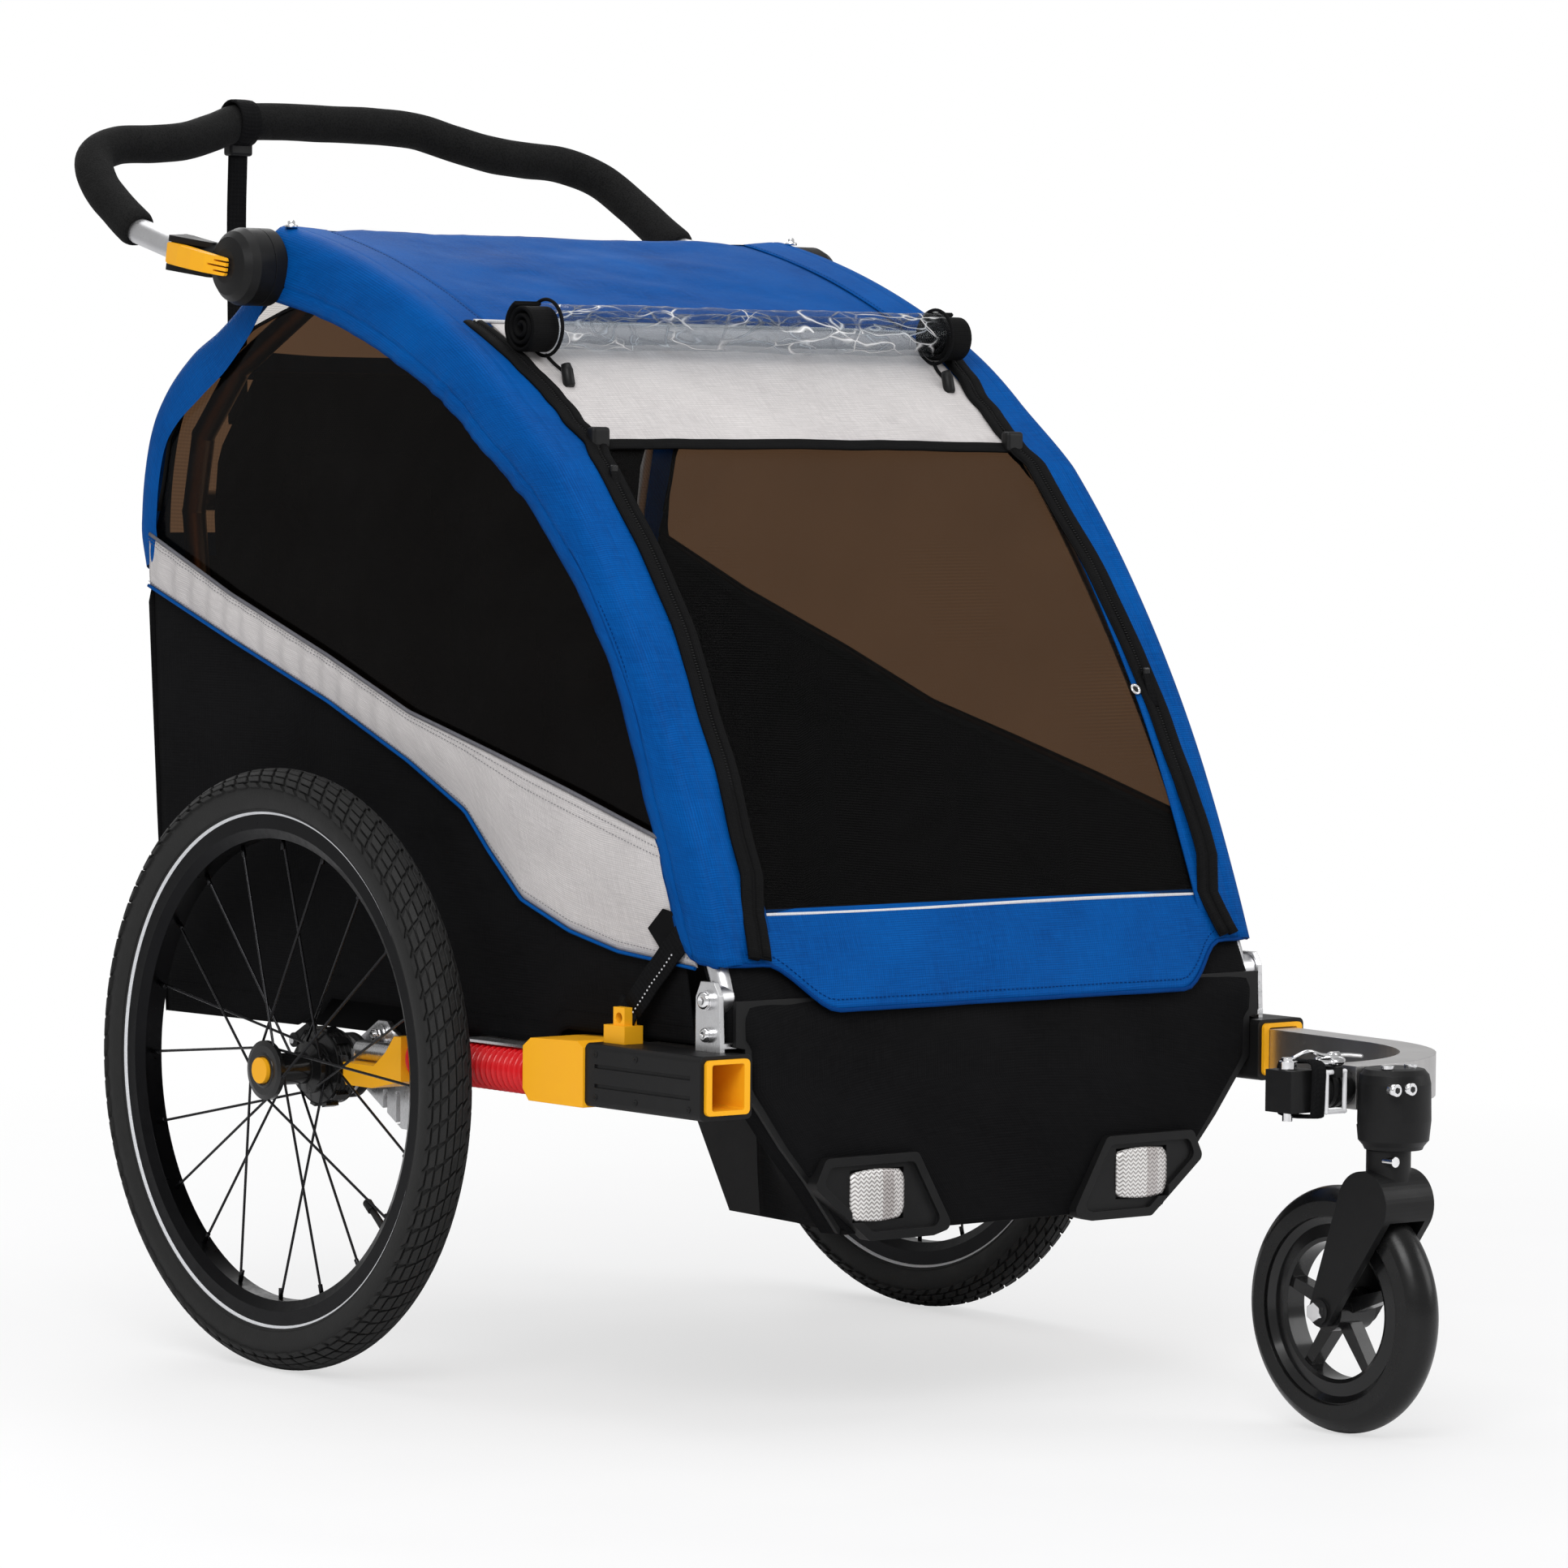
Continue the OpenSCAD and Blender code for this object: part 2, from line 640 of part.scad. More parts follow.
// Hub shell with its two flanges, bearings and toothed brake ring
module hub(s) {
    f0 = hub_in + 26;
    color("black") on_side(s) {
        difference() {
            turned_x([0, axle_z]) polygon([[hub_in, 9], [hub_in, drum_r - 4], [hub_in + 3, drum_r],
                [hub_in + 21, drum_r], [hub_in + 23, 20], [f0, 20], [f0, flange_r - 3],
                [f0 + 6, flange_r - 3], [f0 + 9, 13], [hub_end - 8, 13],
                [hub_end - 5, flange_r], [hub_end - 1, flange_r], [hub_end, 20],
                [hub_end, button_r + fit], [hub_end - 10, button_r + fit], [hub_end - 10, 9]]);
            for (x = [[hub_in - 1, hub_in + 10], [hub_end - 20, hub_end - 9]])
                along_x(x[0], x[1], [0, axle_z], 11);
        }
        for (i = [0 : ring_teeth - 1]) translate([0, 0, axle_z]) rotate([360 * (i + 0.5) / ring_teeth, 0, 0])
            block([hub_in + 8, -3.4, drum_r - 1], [hub_in + 20, 3.4, ring_r]);
    }
    color("silver") on_side(s) for (x = [[hub_in, hub_in + 9.5], [hub_end - 19.5, hub_end - 10.5]])
        difference() {
            along_x(x[0], x[1], [0, axle_z], 11);
            along_x(x[0] - 1, x[1] + 1, [0, axle_z], axle_r + fit);
        }
}
module hub_left() hub(1);
module hub_right() hub(-1);

module axle_button(s) {
    color("orange") on_side(s) along_x(hub_end - 5, button_face, [0, axle_z], button_r);
}
module axle_button_left() axle_button(1);
module axle_button_right() axle_button(-1);

// ---------- parking brake ----------

module brake_pedal() {
    color("red") difference() {
        union() {
            along_x(pedal_x0, pedal_x1, pedal_pivot, 8);
            plate_x(pedal_x0 + 2, pedal_x1 - 2, [[285, 280], [322, 262], [348, 262], [348, 268],
                [324, 270], [289, 295]]);
        }
        along_x(pedal_x0 - 1, pedal_x1 + 1, pedal_pivot, pedal_pin_r + fit);
    }
}

// Pawl that drops between the teeth of the brake ring
module brake_pawl(s) {
    color("black") on_side(s) translate([0, pawl_pivot[0], pawl_pivot[1]])
        rotate([pawl_lean, 0, 0]) difference() {
        union() {
            along_x(hub_in + 9, hub_in + 19, [0, 0], 6);
            plate_x(hub_in + 10, hub_in + 18, [[-2, -5], [24, -4], [25.5, 1.5], [20.5, 1.5],
                [18, -0.5], [-2, 5]]);
        }
        along_x(hub_in, hub_in + 24, [0, 0], pawl_pin_r + fit);
    }
}
module brake_pawl_left() brake_pawl(1);
module brake_pawl_right() brake_pawl(-1);

// ---------- bows and cover ----------

// One bow: tangent arcs of tube on a hinge eye
module bow(s) {
    color("silver") on_side(s) difference() {
        union() {
            for (i = [0 : 2]) {
                st = bow_state(i);
                a = bow_arcs[i];
                c = st[0] + a[0] * [sin(st[1]), -cos(st[1])];
                translate([bow_x, c[0], c[1]]) rotate([90, 0, 90])
                    rotate([0, 0, st[1] - a[1] + 90]) rotate_extrude(angle = a[1], $fn = 360)
                    translate([a[0] + tube_off, 0]) circle(r = bow_r);
                joint = bow_at(i, tube_off);
                if (i > 0) translate([bow_x, joint[0], joint[1]]) sphere(r = bow_r + 0.3);
            }
            along_x(bracket_in + 5.4, bracket_out - 5, hinge_a, eye_r);
        }
        along_x(bracket_in, bracket_out, hinge_a, hinge_r + fit);
    }
}
module bow_left() bow(1);
module bow_right() bow(-1);

// Fixed halves of the handlebar pivots, one on each bow's end
module pivot_hubs() {
    color("dimgray") both() {
        along_x(hub_face - 11.5, hub_face, roof_hub, hub_r);
        along_x(bow_x - 4, hub_face - 11, roof_hub - hub_stub, stub_r);
    }
}

flap_top = [-469, 396];
flap_low = [-510, 320];

// Roof, borders beside the front screen, side bands and the front flap
module cover_shell() {
    edge = wall_x + 4;
    color("royalblue") difference() {
        union() {
            both() plate_x(screen_x, edge, bow_strip(0.12, 3, 0, -skin, 24));
            plate_x(-screen_x, screen_x, bow_strip(roof_front, 3, 0, -skin));
            both() plate_x(edge, edge + skin, concat(bow_run(0.12, 3, 0, 24),
                [for (k = [24 : -1 : 0]) let (t = 0.12 + 2.88 * k / 24) bow_at(t, -band(t))]));
            intersection() {
                plate_x(-edge, edge, [flap_top, flap_low, flap_low + [3, 0], flap_top + [3.5, 0]]);
                plate_y(-520, -440, [[-edge, 400], [edge, 400], [edge, 356], [208, 324], [180, 320],
                    [-180, 320], [-208, 324], [-edge, 356]]);
            }
        }
        both() along_x(edge - 1, edge + skin + 1, roof_hub - hub_stub, stub_r + 1);
    }
}

module front_screen() {
    color("gray") plate_x(-screen_x + 0.3, screen_x - 0.3,
        bow_strip(0.28, roof_front - 0.01, -1, -2.6, 18));
}

module sun_shade() {
    color("whitesmoke") plate_x(-screen_x + 0.3, screen_x - 0.3,
        bow_strip(shade_end, roof_front - 0.01, 1.4, -0.8, 12));
}

// Clear rain cover, rolled up at the roof's front
module rain_roll() {
    c = bow_at(1.82, 23.5);
    color("lightgray") along_x(-229, 229, c, 21);
}

// ---------- rear frame, seat and fabric ----------

module rear_frame() {
    color("silver") difference() {
        union() {
            both() {
                bent_tube([for (p = post_line) [post_x, p[0], p[1]]], post_r);
                along_x(post_x - 13.5, post_x + 11.5, hinge_b, eye_r);
            }
            along_x(-post_x, post_x, [112, 866], post_r);
            along_x(-post_x, post_x, [282, 700], post_r - 1);
            both() translate([post_x, 112, 866]) sphere(r = post_r + 0.3);
        }
        both() along_x(post_x - 20, post_x + 20, hinge_b, hinge_r + fit);
    }
}

module seat_back() {
    color("black") plate_x(-208, 208, [[182, 340], [208, 334], [254, 700], [254, 752], [246, 764],
        [232, 760], [222, 700]]);
}

module seat() {
    color("black") plate_x(-208, 208, [[-196, 289], [176, 289], [176, 340], [-160, 340], [-186, 336],
        [-196, 326]]);
}

// Lines on the side walls, as [y, z]
stripe_top = [[292, 670], [170, 622], [30, 575], [-84, 533], [-193, 506], [-298, 479], [-440, 440]];
stripe_low = [[292, 628], [170, 586], [28, 539], [-84, 495], [-161, 459], [-193, 429], [-236, 393],
    [-299, 372], [-361, 360], [-470, 352]];
rear_line = [[268, 280], [282, 440], [296, 620], [314, 690], [302, 752], [276, 790], [236, 822],
    [160, 866], [124, 906]];
wall_x = bow_x + bow_r - 3;

// Area outside a line at a distance in from the bow
module outside_bow(gap) {
    polygon(concat(bow_run(0, 3, 40), [for (k = [18 : -1 : 0]) bow_at(k / 6, -gap)],
        [[-440, 290], [-560, 290]]));
}

// Side walls up to the windows, the pale stripe on them, and the back panel
module body_fabric() {
    inner_line = [for (p = rear_line) p - [skin, 0]];
    color("dimgray") {
        both() {
            translate([wall_x, 0, 0]) rotate([90, 0, 90]) linear_extrude(skin) difference() {
                polygon(concat(stripe_top, [[-456, 354], [-452, rail_top], [-286, rail_top],
                    [-280, 280], [267, 280], [281, 440], [294.5, 628]]));
                outside_bow(28);
            }
            translate([wall_x + skin, 0, 0]) rotate([90, 0, 90]) linear_extrude(2) difference() {
                polygon(concat([for (p = stripe_top) p - [0, 4]],
                    [for (i = [len(stripe_low) - 1 : -1 : 0]) stripe_low[i]]));
                outside_bow(band_high + 1);
            }
        }
        plate_x(-wall_x - skin, wall_x + skin, concat(rear_line,
            [for (i = [len(rear_line) - 1 : -1 : 0]) inner_line[i]]));
    }
}

// Tinted side windows between the stripe and the bows
module side_windows() {
    top = [[78, 856], [140, 852], [190, 826], [246, 798], [276, 764], [290, 700], [288, 672]];
    color("black") both() difference() {
        plate_x(wall_x, wall_x + 1.5, concat([for (k = [1 : 16]) let (t = 0.4 + 2.4 * k / 16)
            bow_at(t, 3 - band(t))], top, [for (p = stripe_top) p + [0, 0.5]]));
        along_x(wall_x - 1, wall_x + 2, roof_hub, hub_r + 3);
        translate([wall_x - 1, 0, 0]) rotate([90, 0, 90]) linear_extrude(4) outside_bow(28);
    }
}

// ---------- handlebar ----------

bar_rise = 10;
bar_x = 303;
bar_socket = 84;
bar_grip = 22;       // how far the tube sits in its socket
bar_foot = [bar_x, roof_hub[0] + bar_socket * cos(bar_rise),
    roof_hub[1] + bar_socket * sin(bar_rise)];
bar_end = [-grip_half[0][0], grip_half[0][1], grip_half[0][2]];
bar_dir = (bar_end - bar_foot) / norm(bar_end - bar_foot);

// The handlebar's own frame: origin on the pivot, +Y along the bar
module bar_frame() { translate([0, roof_hub[0], roof_hub[1]]) rotate([bar_rise, 0, 0]) children(); }

lever_pin = [323, 70];
lever_pin_r = 2.5;
lever_h = 9;

module handlebar_knuckles() {
    dome = hub_face + side_gap;
    color("dimgray") both() difference() {
        bar_frame() {
            turned_x([0, 0]) polygon([[dome, 0], [dome, hub_r], [dome + 14, hub_r],
                [dome + 21, hub_r - 3], [dome + 26, hub_r - 8], [dome + 29, hub_r - 18],
                [dome + 30, 0]]);
            along_y(25, bar_socket, [bar_x, 0], 14);
            for (s = [-1, 1]) translate([0, 0, s * (lever_h + 3) - 2.5]) linear_extrude(5) hull() {
                translate([bar_x + 6, lever_pin[1] - 34]) circle(4);
                translate([bar_x + 6, lever_pin[1] + 2]) circle(6);
                translate([lever_pin[0], lever_pin[1]]) circle(5);
            }
            translate([lever_pin[0], lever_pin[1], -lever_h - 3])
                cylinder(h = 2 * lever_h + 6, r = lever_pin_r);
        }
        rod(bar_foot - bar_grip * bar_dir, bar_foot + 20 * bar_dir, bar_r + fit);
    }
}

module handlebar_tube() {
    color("silver") both() rod(bar_foot - bar_grip * bar_dir, bar_end, bar_r);
}

module handlebar_grip() {
    left = [for (i = [len(grip_half) - 2 : -1 : 0])
        [-grip_half[i][0], grip_half[i][1], grip_half[i][2]]];
    color("black") swept(curve(concat(grip_half, left), 3), grip_r, 12);
}

// Webbing wrist strap that hangs from the grip, folded double
strap_line = [[427, 1014], [428, 985], [429, 955], [429, 920], [428, 880], [427, 840], [426, 800],
    [425, 765]];
strap_x = -95;
strap_w = 18;
strap_t = 4;

module wrist_strap() {
    color("black") plate_x(strap_x - strap_w / 2, strap_x + strap_w / 2, concat(
        [for (p = strap_line) [p[0] - strap_t / 2, p[1]]],
        [for (i = [len(strap_line) - 1 : -1 : 0]) [strap_line[i][0] + strap_t / 2, strap_line[i][1]]]));
}

// Lever that locks the handlebar's angle
module handlebar_lever(s) {
    color("orange") on_side(s) bar_frame() difference() {
        intersection() {
            union() {
                translate([lever_pin[0], lever_pin[1], -lever_h]) cylinder(h = 2 * lever_h, r = 5);
                linear_extrude(2 * lever_h, center = true) polygon([[321, lever_pin[1]],
                    [320.5, 40], [320.5, -8], [323, -8], [326, 2], [329, 16], [330.5, 34],
                    [330, 54], [328, lever_pin[1] + 3], [323, lever_pin[1] + 5]]);
            }
            translate([300, 0, 0]) rotate([90, 0, 90]) linear_extrude(40) hull() {
                translate([lever_pin[1] - 2, 0]) circle(lever_h);
                for (z = [-1, 1]) translate([-5, z * (lever_h - 4.5)]) circle(3);
            }
        }
        translate([lever_pin[0], lever_pin[1], -lever_h - 1])
            cylinder(h = 2 * lever_h + 2, r = lever_pin_r + fit);
        for (z = [-4.2, 0, 4.2]) block([319, -9, z - 0.7], [332, z == 0 ? 12 : 5, z + 0.7]);
    }
}
module handlebar_lever_left() handlebar_lever(1);
module handlebar_lever_right() handlebar_lever(-1);

// ---------- stroller wheel ----------

blade_x = 18.5;
blade_t = 7;

module caster_fork() {
    far = blade_x + blade_t;
    color("dimgray") difference() {
        union() {
            difference() {
                translate([caster_x - far, 0, 0]) rotate([90, 0, 90]) linear_extrude(2 * far) hull() {
                    translate([swivel_y + 2, 180]) circle(26);
                    translate([caster_y, caster_r]) circle(12);
                }
                along_x(caster_x - blade_x, caster_x + blade_x, [caster_y, caster_r], caster_r + 4);
            }
            for (x = [caster_x - far - 2.5, caster_x + far]) along_x(x, x + 2.5, [caster_y, caster_r], 10);
            translate([caster_x, swivel_y, 190]) cylinder(h = clamp_z0 - 190 - side_gap, r = 17);
            translate([caster_x, swivel_y, 206]) cylinder(h = clamp_z0 - 206 + 28, r = stem_r);
        }
        along_x(caster_x - 40, caster_x + 40, [caster_y, caster_r], 4 + fit);
        along_y(swivel_y - 20, swivel_y - 8, [caster_x - 11, 214], 4);
    }
}

module caster_rim() {
    c = [caster_y, caster_r];
    r = caster_r - 17;
    color("dimgray") difference() {
        union() {
            turned_x(c) polygon([for (p = [[-9, r - 25], [9, r - 25], [10.5, r - 22], [9, r - 12],
                [13, r - 7], [13, r], [-13, r], [-13, r - 7], [-9, r - 12], [-10.5, r - 22]])
                [caster_x + p[0], p[1]]]);
            along_x(caster_x - blade_x + side_gap, caster_x + blade_x - side_gap, c, 16);
            for (i = [0 : 4]) translate([0, c[0], c[1]]) rotate([72 * i, 0, 0])
                plate_x(caster_x - 6.5, caster_x + 6.5, [[-6, 12], [6, 12], [4, r - 23], [-4, r - 23]]);
        }
        along_x(caster_x - 20, caster_x + 20, c, 4 + fit);
    }
}

module caster_tyre() {
    r = caster_r - 17;
    h = caster_w / 2;
    color("black") turned_x([caster_y, caster_r]) difference() {
        translate([caster_x, r]) intersection() {
            circle(r = 17);
            square([caster_w, 40], center = true);
        }
        translate([caster_x - 13, 0]) square([26, r]);
        translate([caster_x - h - 1, 0]) square([2 * h + 2, r - 6]);
    }
}

// Axle bolt with its hexagon heads, and the swivel's clamp screw
module caster_bolts() {
    c = [caster_y, caster_r];
    far = blade_x + blade_t + 2.5;
    color("silver") {
        along_x(caster_x - far, caster_x + far, c, 4);
        for (x = [caster_x - far - 5, caster_x + far]) translate([x, c[0], c[1]]) rotate([0, 90, 0])
            cylinder(h = 5, r = 7.5, $fn = 6);
        along_y(swivel_y - 19, swivel_y - 8, [caster_x - 11, 214], 4);
    }
}

place() side_rails();
place() cross_tubes();
place() socket_housings();
place() socket_liners();
place() spring_caps();
place() hinge_brackets();
place() frame_screws();
place() cover_hooks();
place() hold_down_straps();
place() tub();
place() corner_guards();
place() reflectors();
place() tow_arm();
place() hitch_connector();
place() hitch_strap();
place() hitch_ring();
place() hitch_pin();
place() caster_clamp();
place() spring_left();
place() spring_right();
place() suspension_arm_left();
place() suspension_arm_right();
place() spring_seat_left();
place() spring_seat_right();
place() tyre_left();
place() tyre_right();
place() rim_left();
place() rim_right();
place() spokes_left();
place() spokes_right();
place() hub_left();
place() hub_right();
place() axle_button_left();
place() axle_button_right();
place() brake_pedal();
place() brake_pawl_left();
place() brake_pawl_right();
place() bow_left();
place() bow_right();
place() pivot_hubs();
place() cover_shell();
place() front_screen();
place() sun_shade();
place() rain_roll();
place() rear_frame();
place() seat_back();
place() body_fabric();
place() side_windows();
place() seat();
place() handlebar_knuckles();
place() handlebar_tube();
place() handlebar_grip();
place() wrist_strap();
place() handlebar_lever_left();
place() handlebar_lever_right();
place() caster_fork();
place() caster_rim();
place() caster_tyre();
place() caster_bolts();
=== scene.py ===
# Two-seat child bicycle trailer, set up as a stroller: cloth, finishes and small parts.
# Points are in millimetres about the wheel axle (y = 0), as the solids were drawn:
# the front faces -Y, the trailer's left side is +X and up is +Z. at() turns them into metres.
import json
import math
import bpy
import bmesh
from mathutils import Matrix, Vector, noise

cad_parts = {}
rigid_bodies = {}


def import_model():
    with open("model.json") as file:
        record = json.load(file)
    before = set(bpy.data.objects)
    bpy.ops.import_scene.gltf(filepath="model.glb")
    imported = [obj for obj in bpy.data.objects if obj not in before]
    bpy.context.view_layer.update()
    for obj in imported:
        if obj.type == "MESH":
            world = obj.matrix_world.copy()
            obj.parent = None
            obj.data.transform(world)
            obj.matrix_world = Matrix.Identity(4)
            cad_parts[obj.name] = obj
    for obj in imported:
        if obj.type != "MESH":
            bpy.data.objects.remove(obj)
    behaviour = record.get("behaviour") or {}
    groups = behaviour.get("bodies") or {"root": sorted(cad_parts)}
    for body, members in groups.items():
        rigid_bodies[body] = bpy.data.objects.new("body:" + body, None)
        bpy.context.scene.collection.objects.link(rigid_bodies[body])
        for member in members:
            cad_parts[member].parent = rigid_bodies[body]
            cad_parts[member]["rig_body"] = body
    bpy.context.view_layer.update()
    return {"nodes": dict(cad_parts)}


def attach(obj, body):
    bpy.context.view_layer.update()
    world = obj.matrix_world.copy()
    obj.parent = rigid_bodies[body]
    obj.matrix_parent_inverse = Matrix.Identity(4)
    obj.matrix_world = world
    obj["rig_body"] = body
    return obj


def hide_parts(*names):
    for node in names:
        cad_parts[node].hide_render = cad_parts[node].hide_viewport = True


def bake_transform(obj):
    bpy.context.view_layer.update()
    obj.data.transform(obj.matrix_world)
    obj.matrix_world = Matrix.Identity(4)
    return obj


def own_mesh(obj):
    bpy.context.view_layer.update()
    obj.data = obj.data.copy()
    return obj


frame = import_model()
scene = bpy.context.scene

# ---------- sizes shared with the solids ----------

SHIFT = 202.25
WHEEL_R = 243.0
TYRE_R = 21.5
WHEEL_X = 339.5
RIM_IN = 187.0
SPOKES = 20
ROOF_FRONT = 2.05
SHADE_END = 1.14
ROOF_HALF = 222.0
LENS_X = 137.0
BOW_FOOT = (-493.0, 334.0)
BOW_HEADING = 68.0
BOW_ARCS = ((1540.0, 17.0), (450.0, 22.5), (850.0, 17.2))
FLAP_TOP = (-469.0, 396.0)
FLAP_LOW = (-510.0, 320.0)
SPRING_X = 287.0
SPRING_Z = 259.0
STRIPE_TOP = ((-440, 440), (-298, 479), (-193, 506), (-84, 533), (30, 575), (170, 622),
              (292, 670))
STRIPE_LOW = ((-470, 352), (-361, 360), (-299, 372), (-236, 393), (-193, 429), (-161, 459),
              (-84, 495), (28, 539), (170, 586), (292, 628))
REAR_LINE = ((112, 925), (128, 912), (160, 872), (198, 846), (238, 826), (278, 794), (304, 754),
             (316, 690), (306, 642))
STRAP_LINE = ((427, 1014), (428, 985), (429, 955), (429, 920), (428, 880), (427, 840), (426, 800),
              (425, 765))
STRAP_X = -95.0
TOW_END = (107.0, -767.3)


def at(x, y, z):
    """A point in millimetres about the axle, in the trailer's frame in metres."""
    return Vector((x * 0.001, (y + SHIFT) * 0.001, z * 0.001))


def linear(r, g, b):
    """A colour on the 0 to 255 scale as the shader's own values."""
    return tuple(((c / 255 + 0.055) / 1.055) ** 2.4 if c > 10 else c / 3294.6 for c in (r, g, b))


def smooth(t):
    t = min(max(t, 0.0), 1.0)
    return t * t * (3 - 2 * t)


def mix(a, b, t):
    return a + (b - a) * t


def ripple(x, y, z, size, seed=0.0):
    """Soft unevenness from -1 to 1 at about that size in millimetres."""
    return noise.noise(Vector((x / size + seed, y / size, z / size)))


def table(points, key):
    """Reads a height from a list of (place, height) by straight lines."""
    if key <= points[0][0]:
        return points[0][1]
    for (a, p), (b, q) in zip(points, points[1:]):
        if key <= b:
            return mix(p, q, (key - a) / (b - a))
    return points[-1][1]


def curve_through(points, steps):
    """A smooth line through points, by Catmull-Rom."""
    pts = [Vector(p) for p in points]
    line = []
    for i in range(len(pts) - 1):
        a, b, c, d = pts[max(i - 1, 0)], pts[i], pts[i + 1], pts[min(i + 2, len(pts) - 1)]
        for k in range(steps):
            t = k / steps
            line.append(0.5 * (2 * b + (c - a) * t + (2 * a - 5 * b + 4 * c - d) * t * t
                               + (3 * b - a - 3 * c + d) * t ** 3))
    line.append(pts[-1])
    return line


def around(count):
    """Even angles for one turn of a circle."""
    return [2 * math.pi * k / count for k in range(count)]


def spaced(points, count):
    """The same line as count points at even distances."""
    pts = [Vector(p) for p in points]
    run = [0.0]
    for a, b in zip(pts, pts[1:]):
        run.append(run[-1] + (b - a).length)
    out, i = [], 0
    for k in range(count):
        want = run[-1] * k / (count - 1)
        while i < len(pts) - 2 and run[i + 1] < want:
            i += 1
        part = run[i + 1] - run[i]
        out.append(pts[i].lerp(pts[i + 1], (want - run[i]) / part if part else 0.0))
    return out


def grid(across, down, point):
    """Rows of points: u runs from 0 to 1 along a row, and v from 0 to 1 from row to row."""
    return [[point(i / across, k / down) for i in range(across + 1)] for k in range(down + 1)]


def arc_end(p, h, r, a):
    return (p[0] + r * (math.sin(h) - math.sin(h - a)), p[1] + r * (math.cos(h - a) - math.cos(h)))


BOW_STATES = [(BOW_FOOT, math.radians(BOW_HEADING))]
for _radius, _turn in BOW_ARCS:
    _p, _h = BOW_STATES[-1]
    BOW_STATES.append((arc_end(_p, _h, _radius, math.radians(_turn)), _h - math.radians(_turn)))


def bow_at(t, off=0.0):
    """(y, z) along the tight cover over a bow, where the whole part of t counts the bow's arcs."""
    off += 15 * smooth((t + 0.3) / 0.95) * (1 - smooth((t - 0.75) / 0.75))
    i = min(max(int(t), 0), 2)
    p, heading = BOW_STATES[i]
    r, turn = BOW_ARCS[i]
    h = heading - (t - i) * math.radians(turn)
    return (p[0] + r * math.sin(heading) - (r + off) * math.sin(h),
            p[1] - r * math.cos(heading) + (r + off) * math.cos(h))


def band(t):
    """Width of the cover's side band beside the bow."""
    return 44 + 14 * (max(t, 0.0) / 3) ** 3 - 14 * math.exp(-((t - 0.66) / 0.25) ** 2)


# ---------- camera ----------

def set_camera():
    yaw, pitch, roll = math.radians(39.17), math.radians(-2.93), math.radians(0.51)
    look = Vector((math.sin(yaw) * math.cos(pitch), math.cos(yaw) * math.cos(pitch), math.sin(pitch)))
    right = look.cross(Vector((0, 0, 1))).normalized()
    up = right.cross(look)
    right, up = (right * math.cos(roll) + up * math.sin(roll),
                 up * math.cos(roll) - right * math.sin(roll))
    camera = bpy.data.objects.new("camera", bpy.data.cameras.new("camera"))
    camera.data.sensor_width = 36.0
    camera.data.lens = 148.1
    camera.data.clip_end = 60.0
    turn = Matrix((right, up, -look)).transposed().to_4x4()
    camera.matrix_world = Matrix.Translation((-3.3089, -4.08185, 0.7434)) @ turn
    scene.collection.objects.link(camera)
    scene.camera = camera


set_camera()


# ---------- node helpers ----------

def new_finish(name):
    """A new material, its node tree and its shader."""
    m = bpy.data.materials.new(name)
    m.use_nodes = True
    return m, m.node_tree, m.node_tree.nodes["Principled BSDF"]


def feed(tree, node, **inputs):
    """Sets a node's inputs, by name or as i0, i1 and so on; a value that is a socket is linked."""
    for key, value in inputs.items():
        by_place = key[0] == "i" and key[1:].isdigit()
        plug = node.inputs[int(key[1:]) if by_place else key.replace("_", " ")]
        if isinstance(value, bpy.types.NodeSocket):
            tree.links.new(value, plug)
        else:
            plug.default_value = value


def add(tree, kind, props=None, **inputs):
    """A node with settings and inputs."""
    n = tree.nodes.new(kind)
    for key, value in (props or {}).items():
        setattr(n, key, value)
    feed(tree, n, **inputs)
    return n


def maths(tree, how, a, b=0.0):
    return add(tree, "ShaderNodeMath", {"operation": how}, i0=a, i1=b).outputs[0]


def blend_colours(tree, factor, a, b):
    a, b = [c if isinstance(c, bpy.types.NodeSocket) else (*c, 1) for c in (a, b)]
    return add(tree, "ShaderNodeMix", {"data_type": "RGBA"}, i0=factor, i6=a, i7=b).outputs[2]


def span(tree, value, low, high, to_low, to_high):
    """Maps value from one range to another, held at its ends."""
    return add(tree, "ShaderNodeMapRange", None, Value=value, From_Min=low, From_Max=high,
               To_Min=to_low, To_Max=to_high).outputs["Result"]


def place_on(tree, own_map):
    names = "UV" if own_map else "Object"
    return add(tree, "ShaderNodeTexCoord").outputs[names]


def cloud(tree, where, scale, detail=2.0, rough=0.5):
    return add(tree, "ShaderNodeTexNoise", None, Vector=where, Scale=scale, Detail=detail,
               Roughness=rough).outputs["Fac"]


def bumps(tree, height, distance, strength=1.0, under=None):
    lower = {} if under is None else {"Normal": under}
    return add(tree, "ShaderNodeBump", None, Strength=strength, Distance=distance, Height=height,
               **lower).outputs["Normal"]


def stretched(tree, where, scale):
    """The place on a finish, scaled apart along its axes."""
    return add(tree, "ShaderNodeMapping", None, Vector=where, Scale=scale).outputs["Vector"]


def set_beside(tree, surface, other, share):
    """Mixes a second shader with a finish, by share, at the material's output."""
    both = add(tree, "ShaderNodeMixShader", None, Fac=share, i1=surface, i2=other)
    feed(tree, tree.nodes["Material Output"], Surface=both.outputs[0])


